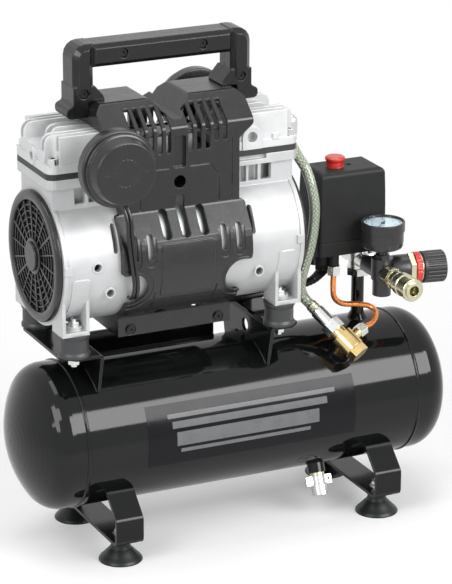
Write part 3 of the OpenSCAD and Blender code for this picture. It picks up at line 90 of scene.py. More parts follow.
class Graph:
    """Adds shader nodes and links with short calls."""

    def __init__(self, tree):
        self.tree = tree

    def add(self, kind, inputs=None, **settings):
        made = self.tree.nodes.new("ShaderNode" + kind)
        for key, value in settings.items():
            setattr(made, key, value)
        for key, value in (inputs or {}).items():
            self.put(made.inputs[key], value)
        return made

    def put(self, socket, value):
        if isinstance(value, bpy.types.NodeSocket):
            self.tree.links.new(value, socket)
        else:
            socket.default_value = value

    def position(self):
        return self.add("TexCoord").outputs["Object"]

    def noise(self, scale, detail=2.0, rough=0.5, vector=None):
        where = vector or self.position()
        return self.add(
            "TexNoise", {"Vector": where, "Scale": scale, "Detail": detail, "Roughness": rough}
        ).outputs["Fac"]

    def math(self, operation, a, b=0.0, clamp=False):
        made = self.add("Math", operation=operation, use_clamp=clamp)
        self.put(made.inputs[0], a)
        self.put(made.inputs[1], b)
        return made.outputs[0]

    def span(self, value, low, high, to_low=0.0, to_high=1.0):
        ends = {"From Min": low, "From Max": high, "To Min": to_low, "To Max": to_high}
        return self.add("MapRange", {"Value": value, **ends}).outputs["Result"]

    def mix(self, fac, a, b):
        made = self.add("Mix", data_type="RGBA")
        self.put(made.inputs["Factor"], fac)
        self.put(made.inputs["A"], a if isinstance(a, bpy.types.NodeSocket) else (*a, 1))
        self.put(made.inputs["B"], b if isinstance(b, bpy.types.NodeSocket) else (*b, 1))
        return made.outputs["Result"]

    def bump(self, height, distance, strength=1.0, normal=None):
        made = self.add("Bump", {"Height": height, "Distance": distance, "Strength": strength})
        if normal is not None:
            self.put(made.inputs["Normal"], normal)
        return made.outputs["Normal"]

    def surface(self, **inputs):
        """The Principled shader on the material's output."""
        shader = self.add("BsdfPrincipled")
        for key, value in inputs.items():
            self.put(shader.inputs[key.replace("_", " ")], value)
        out = self.add("OutputMaterial")
        self.tree.links.new(shader.outputs[0], out.inputs["Surface"])
        return shader


def shades(color, amount):
    """The colour a little darker and a little lighter."""
    return [c * (1 - amount) for c in color], [min(1, c * (1 + amount)) for c in color]


def finish_material(
    name,
    color,
    rough,
    metallic=0.0,
    vary=0.08,
    patch=60,
    grain=900,
    grain_depth=0.00002,
    rough_vary=0.06,
    edge=None,
    soft=0.0,
    relief=None,
    **sockets,
):
    """A surface whose colour and roughness drift in soft patches under a fine grain.
    The edge colour is a painted highlight, laid in patches along sharp edges.
    soft is the radius in metres that the light sees along the edges.
    relief gives a further height in metres, as an embossed mark has."""
    material, g = new_material(name)
    where = g.position()
    patches = g.noise(patch, 3, 0.55, where)
    dark, light = shades(color, vary)
    tint = g.mix(g.span(patches, 0.3, 0.7), dark, light)
    fine = g.noise(grain, 2, 0.5, where)
    roughness = g.span(
        g.math("ADD", g.math("MULTIPLY", patches, 0.6), g.math("MULTIPLY", fine, 0.4)),
        0.3, 0.7, max(0.02, rough - rough_vary), rough + rough_vary,
    )
    # Painted highlight: a lighter colour in patches along the sharp edges.
    if edge:
        rounded = g.add("Bevel", {"Radius": 0.0008}, samples=6).outputs["Normal"]
        facing = g.add("VectorMath", operation="DOT_PRODUCT")
        g.put(facing.inputs[0], g.add("NewGeometry").outputs["Normal"])
        g.put(facing.inputs[1], rounded)
        edge_highlight_mask = g.span(facing.outputs["Value"], 0.97, 0.86)
        tint = g.mix(g.math("MULTIPLY", edge_highlight_mask, g.span(patches, 0.35, 0.6)), tint, edge)
    smooth = g.add("Bevel", {"Radius": soft}, samples=6).outputs["Normal"] if soft else None
    if relief:
        smooth = g.bump(relief(g, where), 1.0, normal=smooth)
    normal = g.bump(fine, grain_depth, normal=smooth)
    g.surface(
        Base_Color=tint, Roughness=roughness, Metallic=metallic, Normal=normal, **sockets
    )
    return material


# ---------- finishes ----------
BLACK_PAINT = (0.0055, 0.006, 0.006)
CAST_ALU = (0.64, 0.645, 0.65)
# A darker copy of the cast aluminium for the crankcases: painted shade that offsets the strong
# light they face.
CRANK_ALU_SHADED = (0.53, 0.535, 0.54)
COVER_GREY = (0.0135, 0.0135, 0.0143)
HANDLE_GREY = (0.0085, 0.0085, 0.0095)
ZINC = (0.66, 0.67, 0.66)
BRASS = (0.74, 0.55, 0.25)
NICKEL = (0.62, 0.60, 0.43)

# The edge colours below are painted highlights along sharp edges.
MATERIALS = {
    "tank_paint": dict(color=BLACK_PAINT, rough=0.075, rough_vary=0.025, patch=30, grain=250,
                       grain_depth=3e-6, soft=0.0006, IOR=1.36),
    "bracket_paint": dict(color=BLACK_PAINT, rough=0.14, grain=400, grain_depth=6e-6,
                          edge=(0.13, 0.135, 0.14), soft=0.0008, IOR=1.34),
    "cast_alu": dict(color=CAST_ALU, rough=0.48, metallic=0.3, vary=0.04, grain=1300,
                     grain_depth=4.5e-5, edge=(0.84, 0.85, 0.86), soft=0.0011),
    "crank_alu_shaded": dict(color=CRANK_ALU_SHADED, rough=0.5, metallic=0.3, vary=0.05, grain=1300,
                      grain_depth=4.5e-5, edge=(0.8, 0.81, 0.82), soft=0.0011),
    "steel_zinc": dict(color=ZINC, rough=0.26, metallic=1.0, grain=700, grain_depth=8e-6,
                       soft=0.0004),
    "black_screws": dict(color=(0.02, 0.02, 0.021), rough=0.35, metallic=0.6, soft=0.0003),
    "core_steel": dict(color=(0.36, 0.37, 0.38), rough=0.4, metallic=1.0),
    "winding_copper": dict(color=(0.55, 0.24, 0.12), rough=0.35, metallic=0.9),
    "shaft_steel": dict(color=(0.7, 0.7, 0.7), rough=0.2, metallic=1.0, grain_depth=5e-6),
    "rotor_alu": dict(color=(0.4, 0.4, 0.41), rough=0.35, metallic=1.0),
    "dark_plastic": dict(color=COVER_GREY, rough=0.25, vary=0.08, grain=2200, grain_depth=2.5e-5,
                         edge=(0.10, 0.102, 0.105), soft=0.0012, IOR=1.5),
    "handle_plastic": dict(color=HANDLE_GREY, rough=0.23, vary=0.08, grain=2000, grain_depth=3e-5,
                           edge=(0.08, 0.082, 0.085), soft=0.0016, IOR=1.42),
    "fan_plastic": dict(color=(0.016, 0.016, 0.017), rough=0.3, grain=1500, grain_depth=1e-5),
    "gasket_black": dict(color=(0.022, 0.022, 0.024), rough=0.5, grain=900, grain_depth=2e-5),
    "rubber": dict(color=(0.034, 0.035, 0.037), rough=0.45, grain=1600, grain_depth=2e-5,
                   soft=0.0006),
    "cup_rubber": dict(color=(0.011, 0.014, 0.0138), rough=0.36, grain=1400, grain_depth=1.5e-5,
                       soft=0.0006, IOR=1.36),
    "felt": dict(color=(0.55, 0.53, 0.47), rough=0.9, grain=1200, grain_depth=2e-4),
    "cap_plastic": dict(color=(0.7, 0.7, 0.66), rough=0.4),
    "cable_black": dict(color=(0.012, 0.012, 0.014), rough=0.25, grain=1200, grain_depth=6e-6),
    "brass": dict(color=BRASS, rough=0.2, metallic=1.0, grain=700, grain_depth=6e-6, soft=0.0004),
    "copper": dict(color=(0.82, 0.29, 0.085), rough=0.27, metallic=0.8, grain=500,
                   grain_depth=5e-6),
    "nickel": dict(color=NICKEL, rough=0.24, metallic=1.0, grain=700, grain_depth=6e-6,
                   soft=0.0004),
    "switch_plastic": dict(color=(0.020, 0.0205, 0.021), rough=0.45, grain=1500, grain_depth=5e-5,
                           edge=(0.045, 0.047, 0.049), soft=0.0014, IOR=1.25),
    "red_plastic": dict(color=(0.62, 0.035, 0.022), rough=0.2, grain_depth=4e-6, soft=0.0005),
    "knob_plastic": dict(color=(0.012, 0.012, 0.0135), rough=0.4, grain=2200, grain_depth=2e-5,
                         soft=0.0004),
    "gauge_black": dict(color=(0.019, 0.019, 0.021), rough=0.3, grain_depth=6e-6, soft=0.0005),
    "needle_red": dict(color=(0.6, 0.06, 0.04), rough=0.35),
    "spring_steel": dict(color=(0.75, 0.75, 0.76), rough=0.16, metallic=1.0, grain_depth=4e-6),
    "label_film": dict(color=(0.005, 0.0045, 0.0068), rough=0.2, grain=500, grain_depth=3e-6,
                       IOR=1.28),
    "label_grey": dict(color=(0.16, 0.165, 0.17), rough=0.3, grain=500, grain_depth=3e-6, IOR=1.3),
    "dial_white": dict(color=(0.66, 0.76, 0.80), rough=0.5, vary=0.03, grain_depth=2e-6),
    "dial_ink": dict(color=(0.03, 0.03, 0.035), rough=0.5, grain_depth=2e-6),
}


def glass_material():
    material, g = new_material("glass")
    haze = g.span(g.noise(35, 2), 0.3, 0.7, 0.01, 0.05)
    g.surface(Base_Color=(0.93, 0.98, 1.0, 1), Roughness=haze, IOR=1.3, Transmission_Weight=1.0)
    return material


RING_R = 0.0125
RING_HALF = 0.0005
RING_EDGE = 0.0009
DASHES = 20
BAR_R = 0.019
EMBOSS = 0.00022


def embossed_ring(g, where):
    """A plain ring of dashes and two short bars, raised on the round face of each filter."""
    low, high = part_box("filter_caps")
    middle = (Vector(low) + Vector(high)) / 2
    cap_half = (high[2] - low[2]) / 2
    off_x = (high[0] - low[0]) / 2 - cap_half
    split = g.add("SeparateXYZ", {"Vector": where})
    side = g.math("ABSOLUTE", g.math("SUBTRACT", split.outputs["X"], middle.x))
    u = g.math("SUBTRACT", side, off_x)
    v = g.math("SUBTRACT", split.outputs["Z"], middle.z)
    u2, v2 = (g.math("POWER", g.math("ABSOLUTE", axis), 2) for axis in (u, v))
    r = g.math("SQRT", g.math("ADD", u2, v2))
    turn = g.math("ARCTAN2", v, u)
    off_ring = g.math("ABSOLUTE", g.math("SUBTRACT", r, RING_R))
    ring = g.span(off_ring, RING_EDGE, RING_HALF)
    dash = g.span(g.math("SINE", g.math("MULTIPLY", turn, DASHES)), -0.3, 0.1)
    off_bar = g.math("ABSOLUTE", g.math("SUBTRACT", r, BAR_R))
    bars = g.math("MULTIPLY", g.span(g.math("ABSOLUTE", v), 0.0006, 0.0003),
                  g.span(off_bar, 0.003, 0.0026))
    raised = g.math("ADD", g.math("MULTIPLY", ring, dash), bars, clamp=True)
    return g.math("MULTIPLY", raised, EMBOSS)


def braid_material():
    """Bands of steel wires, crossing over and under, below a clear greenish sheath."""
    material, g = new_material("hose_braid")
    split = g.add("SeparateXYZ", {"Vector": g.add("UVMap", uv_map="along").outputs["UV"]})
    carriers = 8
    rise = 0.0042
    round_it = g.math("MULTIPLY", split.outputs["X"], carriers * 2 * math.pi)
    along = g.math("MULTIPLY", split.outputs["Y"], 2 * math.pi / rise)
    one = g.math("ADD", along, round_it)
    two = g.math("SUBTRACT", along, round_it)
    swap = g.math("MULTIPLY", g.math("COSINE", g.math("MULTIPLY", one, 0.5)),
                  g.math("COSINE", g.math("MULTIPLY", two, 0.5)))
    on_top = g.span(swap, -0.25, 0.25)
    first = g.math("ABSOLUTE", g.math("SINE", g.math("MULTIPLY", one, 2)))
    second = g.math("ABSOLUTE", g.math("SINE", g.math("MULTIPLY", two, 2)))
    wires = g.add("Mix", {"Factor": on_top, "A": second, "B": first}, data_type="FLOAT")
    lay = wires.outputs["Result"]
    band = g.math("ABSOLUTE", swap)
    height = g.math("ADD", g.math("MULTIPLY", band, 0.8), g.math("MULTIPLY", lay, 0.5))
    tint = g.mix(g.span(lay, 0.1, 0.75), (0.07, 0.085, 0.06), (0.74, 0.76, 0.68))
    tint = g.mix(g.span(band, 0.45, 0.05, 0, 0.75), tint, (0.07, 0.09, 0.06))
    tint = g.mix(g.span(g.noise(90, 2), 0.35, 0.7, 0, 0.3), tint, (0.36, 0.42, 0.30))
    g.surface(
        Base_Color=tint, Metallic=0.5, Roughness=g.span(lay, 0, 1, 0.5, 0.26),
        Normal=g.bump(height, 0.0006), Coat_Weight=1.0, Coat_Roughness=0.06,
        Coat_Tint=(0.90, 0.96, 0.87, 1),
    )
    return material


def make_finishes():
    made = {name: finish_material(name, **settings) for name, settings in MATERIALS.items()}
    made["filter_face"] = finish_material(
        "filter_face", relief=embossed_ring, **MATERIALS["dark_plastic"]
    )
    made["glass"] = glass_material()
    made["hose_braid"] = braid_material()
    return made


# CAD nodes whose finish isn't the one of their material slot.
NODE_FINISH = {
    "filter_caps": "filter_face",
    "foot_cups": "cup_rubber",
    # The crankcases take the darker copy of the cast aluminium, which is painted shade.
    "crankcase_left": "crank_alu_shaded",
    "crankcase_right": "crank_alu_shaded",
}
# Heights above which and below which the case screws are black.
HANDLE_LOW = 0.430
SKIRT_SCREWS_TOP = 0.235


def dress_nodes():
    """Gives each CAD node the finish of its material slot in the record. Some screws are black."""
    for row in frame["record"]["subparts"]:
        mesh = NODES[row["node"]].data
        mesh.materials.clear()
        mesh.materials.append(FINISH[NODE_FINISH.get(row["node"], row["material_slot"])])
    screws = NODES["case_screws"].data
    screws.materials.append(FINISH["black_screws"])
    for face in screws.polygons:
        if face.center.z > HANDLE_LOW or face.center.z < SKIRT_SCREWS_TOP:
            face.material_index = 1


# ---------- mesh helpers ----------
def place(obj, body):
    bpy.context.scene.collection.objects.link(obj)
    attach(obj, body)
    return obj


def mesh_piece(name, verts, faces, finish, body="frame", at=None, sharp=35):
    """A piece from points in metres, smooth except along edges sharper than sharp degrees."""
    mesh = bpy.data.meshes.new(name)
    mesh.from_pydata([tuple(v) for v in verts], [], faces)
    mesh.validate()
    bm = bmesh.new()
    bm.from_mesh(mesh)
    bmesh.ops.remove_doubles(bm, verts=bm.verts, dist=1e-7)
    bmesh.ops.recalc_face_normals(bm, faces=bm.faces)
    bm.to_mesh(mesh)
    bm.free()
    if at is not None:
        mesh.transform(at)
    for face in mesh.polygons:
        face.use_smooth = True
    mesh.set_sharp_from_angle(angle=math.radians(sharp))
    mesh.materials.append(FINISH[finish])
    return place(bpy.data.objects.new(name, mesh), body)


def revolved(profile, steps=64):
    """Points and faces of a closed profile of (radius, height) in millimetres, turned about Z."""
    verts, faces = [], []
    count = len(profile)
    for i in range(steps):
        turn = 2 * math.pi * i / steps
        for r, h in profile:
            verts.append(Vector((r * math.cos(turn), r * math.sin(turn), h)) * MM)
    for i in range(steps):
        for k in range(count):
            a, b = i * count + k, i * count + (k + 1) % count
            c, d = (i + 1) % steps * count + (k + 1) % count, (i + 1) % steps * count + k
            faces.append((a, b, c, d))
    return verts, faces


def turned(name, profile, finish, at=None, body="frame", steps=64):
    verts, faces = revolved(profile, steps)
    return mesh_piece(name, verts, faces, finish, body, at)


def spline(points, steps):
    """The same smooth curve as the part's own, through the points."""
    ends = [points[0], *points, points[-1]]
    made = []
    for i in range(len(points) - 1):
        a, b, c, d = (Vector(p) for p in ends[i:i + 4])
        for k in range(steps):
            t = k / steps
            made.append((2 * b + (c - a) * t + (2 * a - 5 * b + 4 * c - d) * t * t
                         + (3 * b - a - 3 * c + d) * t ** 3) / 2)
    return [*made, Vector(points[-1])]


def headings(path):
    last = len(path) - 1
    return [(path[min(i + 1, last)] - path[max(i - 1, 0)]).normalized() for i in range(last + 1)]


def rings(path, radii, sides):
    """Rings of points round a path, with no twist from one to the next."""
    ways = headings(path)
    side = ways[0].orthogonal().normalized()
    verts = []
    for point, way, r in zip(path, ways, radii):
        side = (side - way * side.dot(way)).normalized()
        up = way.cross(side)
        for k in range(sides):
            turn = 2 * math.pi * k / sides
            verts.append(point + r * (math.cos(turn) * side + math.sin(turn) * up))
    return verts


def tube(name, path, radii, finish, sides=32, body="frame"):
    """A round tube along the path, closed at both ends. Its UVs run round it in U and along it
    in metres in V, for a braid."""
    verts = rings(path, radii, sides)
    count = len(path)
    faces = [tuple(range(sides)), tuple(range((count - 1) * sides, count * sides))]
    for i in range(count - 1):
        for k in range(sides):
            a, b = i * sides + k, i * sides + (k + 1) % sides
            faces.append((a, b, b + sides, a + sides))
    obj = mesh_piece(name, verts, faces, finish, body)
    run = [0.0]
    for a, b in zip(path, path[1:]):
        run.append(run[-1] + (b - a).length)
    lengths = {i: run[i // sides] for i in range(count * sides)}
    layer = obj.data.uv_layers.new(name="along")
    for face in obj.data.polygons:
        turns = [obj.data.loops[j].vertex_index % sides / sides for j in face.loop_indices]
        wrap = max(turns) - min(turns) > 0.5
        for j, turn in zip(face.loop_indices, turns):
            vertex = obj.data.loops[j].vertex_index
            layer.data[j].uv = (turn + 1 if wrap and turn < 0.5 else turn, lengths[vertex])
    return obj


def in_metres(points):
    return [Vector(p) * MM for p in points]


# ---------- cords ----------
CHECK_WAY = Vector((0.4305, -0.6914, -0.5802))
CHECK_AT = Vector((97.5, -59.14, 183.47))
HOSE = [
    (66, 2, 377.3), (66, 2, 371), (66.4, -1.4, 364.5), (68.6, -10, 356), (74, -20, 341),
    (77.5, -27, 316), (77.5, -27, 292), (74.5, -25, 268), (70, -22, 249), (67.5, -20, 231),
    (71, -20.5, 219), CHECK_AT - 47 * CHECK_WAY, CHECK_AT - 41.5 * CHECK_WAY,
]
MOTOR_CABLE = [
    (99.5, -4.5, 238), (93, 4, 226), (80, 10, 219.5), (60, 11, 217.5), (30, 10.5, 217),
    (5, 10.5, 217), (-12, 10.5, 217), (-24, 9, 219), (-30, 6, 226),
]
TWIN_LEAD = [
    (-139, -37.9, 355.5), (-138.6, -44, 356.6), (-136, -55, 356), (-133.5, -65, 349),
    (-131.5, -70.5, 337), (-131, -72.2, 320), (-129, -73.1, 300), (-126, -72.4, 279),
    (-125.2, -69.5, 267), (-125.2, -63.6, 260.6), (-125.2, -57.3, 259.4),
]
COPPER_TUBE = [
    (118.3, -51.5, 190), (122.8, -49.9, 191.3), (130, -46.5, 191.5), (138, -40, 194.5),
    (142, -32, 198.5), (138.5, -25.5, 202), (128, -20.5, 203.5), (113, -18.5, 206),
    (105, -18, 213), (103, -18.8, 224), (103, -19.5, 236), (103, -19.5, 246),
]
HOSE_R = 5
CABLE_R = 3.5
LEAD_R = 1.75
COPPER_R = 2.75


def add_cord(name, points, radius, finish, nodes):
    """A cord that goes back into the object at both ends."""
    fine = in_metres(spline(points, 12))
    obj = tube(name, fine, [radius * MM] * len(fine), finish)
    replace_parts(obj, *nodes)
    return obj


def add_cords():
    add_cord("braided_hose", HOSE, HOSE_R, "hose_braid", ["hose"])
    add_cord("motor_cable", MOTOR_CABLE, CABLE_R, "cable_black", ["cables"])
    for side, dx in (("left", -1.9), ("right", 1.9)):
        points = [Vector(p) + Vector((dx, 0, 0)) for p in TWIN_LEAD]
        add_cord("sensor_lead_" + side, points, LEAD_R, "cable_black", ["cables"])
    path = in_metres(spline(COPPER_TUBE, 12))
    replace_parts(tube("copper_tube", path, [COPPER_R * MM] * len(path), "copper"), "unloader_pipe")


def along_cord(points, start, end, step=0.5):
    """Points on a cord's route from start to end millimetres along it."""
    path = spline(points, 40)
    made, run, due = [], 0.0, start
    for a, b in zip(path, path[1:]):
        gap = (b - a).length
        while due <= min(run + gap, end):
            made.append(a.lerp(b, (due - run) / gap))
            due += step
        run += gap
    return made


BOOT_LONG = 24
BOOT_R = 5.4
BOOT_TAPER = 1.5


def add_strain_relief():
    """A tapered ribbed boot on the motor cable, below its gland."""
    path = along_cord(MOTOR_CABLE, 0.2, BOOT_LONG)
    radii = []
    for i in range(len(path)):
        t = i / (len(path) - 1)
        ring = 0.45 if i > 8 and i % 7 < 3 else 0.0
        radii.append((BOOT_R - BOOT_TAPER * t - ring) * MM)
    tube("strain_relief", in_metres(path), radii, "cable_black", 40)


FERRULE_LONG = 9
FERRULE_R = 6.1
FERRULE_END_R = 5.6


def add_hose_ferrules():
    """Crimped sleeves on both ends of the hose."""
    for name, points in (("hose_ferrule_top", HOSE), ("hose_ferrule_low", HOSE[::-1])):
        path = along_cord(points, 0.1, FERRULE_LONG)
        radii = []
        for i in range(len(path)):
            waist = 0.35 if i % 6 in (3, 4) else 0.0
            inside = 1 < i < len(path) - 2
            radii.append((FERRULE_R - waist if inside else FERRULE_END_R) * MM)
        tube(name, in_metres(path), radii, "nickel", 40)


# ---------- welds ----------
def bead(name, points, radius, finish="tank_paint"):
    """A weld bead with the ripple of its passes."""
    path = in_metres(points)
    radii = [(radius + 0.16 * math.sin(2.1 * i) if 0 < i < len(path) - 1 else 0.5 * radius) * MM
             for i in range(len(path))]
    tube(name, path, radii, finish, 10)


WELD_SIDES = (("left", (-151, -154)), ("right", (19.5, 22.5)))
WELD_SWEEP = 24
WELD_STEPS = 60
WELD_R = 1.3


def add_welds():
    """The beads that hold the brackets to the top of the tank."""
    for side, faces in WELD_SIDES:
        for k, x in enumerate(faces):
            for name, start in (("front", 50), ("rear", 106)):
                turns = [start + WELD_SWEEP * i / WELD_STEPS for i in range(WELD_STEPS + 1)]
                points = [on_tank(x, turn, 0.3) / MM for turn in turns]
                bead(f"bracket_weld_{side}_{name}_{k}", points, WELD_R)


# ---------- tank label ----------
TANK_Z = 113
TANK_R = 70


def on_tank(x, turn, lift):
    """A point on the tank in metres: turn in degrees from the front up, lift above the skin."""
    a = math.radians(turn)
    r = TANK_R + lift
    return Vector((x, -r * math.cos(a), TANK_Z + r * math.sin(a))) * MM


def tank_sheet(name, x0, x1, low, high, lift, finish, steps=24):
    """A thin closed sheet laid on the tank's front, from x0 to x1 and from low to high degrees."""
    verts, faces = [], []
    for level in (0.05, lift):
        for i in range(steps + 1):
            turn = low + (high - low) * i / steps
            verts += [on_tank(x0, turn, level), on_tank(x1, turn, level)]
    half = 2 * (steps + 1)
    for i in range(steps):
        a = 2 * i
        b = a + half
        faces += [(a, a + 1, a + 3, a + 2), (b, b + 2, b + 3, b + 1)]
        faces += [(a, a + 2, b + 2, b), (a + 1, b + 1, b + 3, a + 3)]
    last = 2 * steps
    faces += [(0, half, half + 1, 1), (last, last + 1, last + 1 + half, last + half)]
    return mesh_piece(name, verts, faces, finish)


LABEL_ENDS = (-113, 103)
LABEL_TURNS = (-17, 32)
FILM = 0.18
INK = 0.26
STRIPES = [(20, 23.5), (12, 17.5), (-2, 9), (-7.5, -4.5)]


def add_label():
    tank_sheet("label_panel", *LABEL_ENDS, *LABEL_TURNS, FILM, "label_film")
    for i, turns in enumerate(STRIPES):
        tank_sheet(f"label_stripe_{i}", -92 + 4 * i, 82 - 9 * i, *turns, INK, "label_grey", 6)


# ---------- gauge ----------
RISER_X = 139.6
REG_X = RISER_X + 1.3
REG_Y = -46.5
REG_Z = 244
GAUGE_TOP = REG_Z + 27 + 22.5
DIAL_INK_Z = -3.12


def at(x, y, z, turn=None):
    made = Matrix.Translation(Vector((x, y, z)) * MM)
    return made @ turn if turn is not None else made


BOX_CORNERS = [
    (sx, sy, sz) for sz in (-1, 1) for sx, sy in ((-1, -1), (1, -1), (1, 1), (-1, 1))
]
BOX_FACES = ((0, 3, 2, 1), (4, 5, 6, 7), (0, 1, 5, 4), (1, 2, 6, 5), (2, 3, 7, 6), (3, 0, 4, 7))


def bars(name, boxes, finish, body="frame", slot=None, at_place=None):
    """Many small flat bars as one piece. Each is (centre, half sizes, turn about Z) in mm."""
    verts, faces = [], []
    for centre, half, turn in boxes:
        base = len(verts)
        spin = Matrix.Rotation(turn, 3, "Z")
        for corner in BOX_CORNERS:
            away = Vector([sign * size for sign, size in zip(corner, half)])
            verts.append((Vector(centre) + spin @ away) * MM)
        faces += [tuple(base + i for i in face) for face in BOX_FACES]
    return mesh_piece(name, verts, faces, finish, body, at_place)


DIAL_START = 225
DIAL_SWEEP = 270
DIAL_STEPS = 50
TICK_R = 16.8
TRACK_R = 17.1
NUMBER_R = 11.6
NUMBER_SIZE = 3.6
DIAL = [(2.4, -3.6), (17.6, -3.6), (18.35, -3.4), (18.35, -3.18), (2.4, -3.18)]
CASE_LOW = [(5.5, -26.2), (16.5, -26.2), (18.6, -25.2), (19.6, -23.2), (19.6, -9.4), (5.5, -9.4)]
BEZEL = [(19.05, -3), (19.05, -1), (19.6, 0.02), (20.6, 0.05), (20.95, -0.3), (20.95, -2.4),
         (20.6, -2.6), (20.2, -3)]
HAND_HUB = [(1.15, -3.1), (2.1, -3.1), (2.1, -2.72), (1.8, -2.6), (1.15, -2.6)]
HAND = [((4.6, 0, -2.86), (9.6, 0.32, 0.1), 0), ((-4.6, 0, -2.86), (2.4, 0.75, 0.1), 0)]


def on_dial(r, turn):
    return (r * math.cos(turn), r * math.sin(turn), DIAL_INK_Z)


def dial_turn(step):
    return math.radians(DIAL_START - DIAL_SWEEP * step / DIAL_STEPS)


def add_gauge():
    place_at = at(REG_X, REG_Y, GAUGE_TOP)
    turned("gauge_dial", DIAL, "dial_white", place_at)
    turned("gauge_case_low", CASE_LOW, "gauge_black", place_at)
    hand_at = place_at @ Matrix.Rotation(math.radians(DIAL_START), 4, "Z")
    hand = bars("gauge_hand", HAND, "dial_ink", "needle", "needle_red", hand_at)
    hub = turned("gauge_hand_hub", HAND_HUB, "dial_ink", place_at, "needle")
    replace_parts(hand, "gauge_needle")
    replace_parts(hub, "gauge_needle")
    turned("gauge_bezel", BEZEL, "gauge_black", place_at)
    ticks = []
    for i in range(DIAL_STEPS + 1):
        turn = dial_turn(i)
        long = 2.6 if i % 10 == 0 else 1.8 if i % 5 == 0 else 1.1
        wide = 0.19 if i % 5 == 0 else 0.11
        ticks.append((on_dial(TICK_R - long / 2, turn), (long / 2, wide, 0.04), turn))
    for i in range(DIAL_STEPS):
        turn = dial_turn(i + 0.5)
        ticks.append((on_dial(TRACK_R, turn), (0.1, 0.82, 0.04), turn))
    bars("gauge_ticks", ticks, "dial_ink", slot="gauge_black", at_place=place_at)
    for i in range(0, 11, 2):
        number(f"gauge_number_{i}", str(i), on_dial(NUMBER_R, dial_turn(5 * i)), place_at)


def number(name, words, where, place_at):
    """A figure on the dial."""
    data = bpy.data.curves.new(name, "FONT")
    data.body = words
    data.size = NUMBER_SIZE * MM
    data.extrude = 0.00004
    data.align_x = "CENTER"
    data.align_y = "CENTER"
    data.materials.append(FINISH["dial_ink"])
    obj = bpy.data.objects.new(name, data)
    obj.matrix_world = place_at @ Matrix.Translation(Vector(where) * MM)
    place(obj, "frame")


# ---------- regulator ----------
REG_TURN = math.radians(-10)
HEX_FLATS = 26.5
BODY_HOLE = 12.6
RED_RIBS = 112
RING_THIN = [(12.6, 36.95), (13.8, 36.95), (14.1, 37.2), (14.1, 37.7), (13.8, 37.9), (12.6, 37.9)]
BONNET = [(9.2, 7), (12.6, 8.5), (13.9, 12), (13.9, 24.9), (9.2, 24.9)]


def add_regulator():
    """The rings round the regulator, all centred on its knob's axis."""
    along_knob = Matrix.Rotation(REG_TURN, 4, "Z") @ Matrix.Rotation(math.pi / 2, 4, "Y")
    out = at(REG_X, REG_Y, REG_Z, along_knob)
    corner = HEX_FLATS / math.sqrt(3)
    nut = [(12.8, 25.1), (corner - 0.7, 25.1), (corner, 25.6), (corner, 30.4),
           (corner - 0.7, 30.9), (12.8, 30.9)]
    turned("regulator_hex_nickel", nut, "nickel", out, steps=6)
    turned("regulator_ring_thin", RING_THIN, "nickel", out)
    turned("regulator_bonnet", BONNET, "gauge_black", out)
    ribs = [15.2 if i % 4 < 2 else 14.7 for i in range(RED_RIBS)]
    levels = ((31.05, None), (31.05, 0.6), (31.6, 0), (36.3, 0), (36.85, 0.6), (36.85, None))
    verts, faces = [], []
    for h, inset in levels:
        for i, rib in enumerate(ribs):
            turn = 2 * math.pi * i / RED_RIBS
            r = BODY_HOLE if inset is None else rib - inset
            verts.append(Vector((r * math.cos(turn), r * math.sin(turn), h)) * MM)
    for level in range(len(levels)):
        here = level * RED_RIBS
        above = (level + 1) % len(levels) * RED_RIBS
        for i in range(RED_RIBS):
            k = (i + 1) % RED_RIBS
            faces.append((here + i, here + k, above + k, above + i))
    mesh_piece("regulator_ring_red", verts, faces, "red_plastic", at=out, sharp=30)


# ---------- fan covers ----------
SHAFT_X = -72
COVER_BACK = 120.5
RIM_WIDE = 9.5
HUB_R = 16.9
SPOKES = 18
SPOKE_ROOT = 16.5
SPOKE_MID = 2.6
GRILLE_RINGS = (23.5, 29.5, 35.5, 41.5, 47.3)
HUB = [(0.01, 0.2), (HUB_R, 0.2), (HUB_R, 5), (16.2, 5.4), (14.6, 5.4), (14, 4.6), (13.4, 4.6),
       (13.2, 7.2), (12.6, 7.8), (0.01, 7.9)]


def rim_profile(outer, inner):
    return [(inner, 0), (outer, 0), (outer, 3), (outer - 0.8, 4.6), (outer - 2.4, 5.4),
            (inner + 2.2, 5.45), (inner + 0.6, 5), (inner, 4)]


def add_fan_covers():
    """Open grilles: a plain rim, a dished hub, thin spokes and thinner rings."""
    for side, way in (("left", -1), ("right", 1)):
        low, high = (Vector(v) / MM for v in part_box("fan_cover_" + side))
        outer = (high.z - low.z) / 2
        inner = outer - RIM_WIDE
        outward = Matrix.Rotation(way * math.pi / 2, 4, "Y")
        axis = at(SHAFT_X, 0, (low.z + high.z) / 2, outward) @ at(0, 0, COVER_BACK)
        rim = rim_profile(outer, inner)
        pieces = [
            turned("fan_rim_" + side, rim, "dark_plastic", axis, steps=128),
            turned("fan_hub_" + side, HUB, "dark_plastic", axis, steps=96),
        ]
        tip = inner + 0.3
        mid, half = (SPOKE_ROOT + tip) / 2, (tip - SPOKE_ROOT) / 2
        spokes = []
        for i in range(SPOKES):
            turn = 2 * math.pi * (i + 0.35) / SPOKES
            centre = (mid * math.cos(turn), mid * math.sin(turn), SPOKE_MID)
            spokes.append((centre, (half, 0.95 if i % 3 == 0 else 0.6, 1.5), turn))
        pieces.append(bars("fan_spokes_" + side, spokes, "dark_plastic", at_place=axis))
        for k, r in enumerate(GRILLE_RINGS):
            ring = [(r - 0.5, 1.6), (r + 0.5, 1.6), (r + 0.5, 3.6), (r - 0.5, 3.6)]
            pieces.append(turned(f"fan_ring_{side}_{k}", ring, "dark_plastic", axis, steps=96))
        for piece in pieces:
            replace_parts(piece, "fan_cover_" + side)


# ---------- studio ----------
FLOOR_HALF = 12


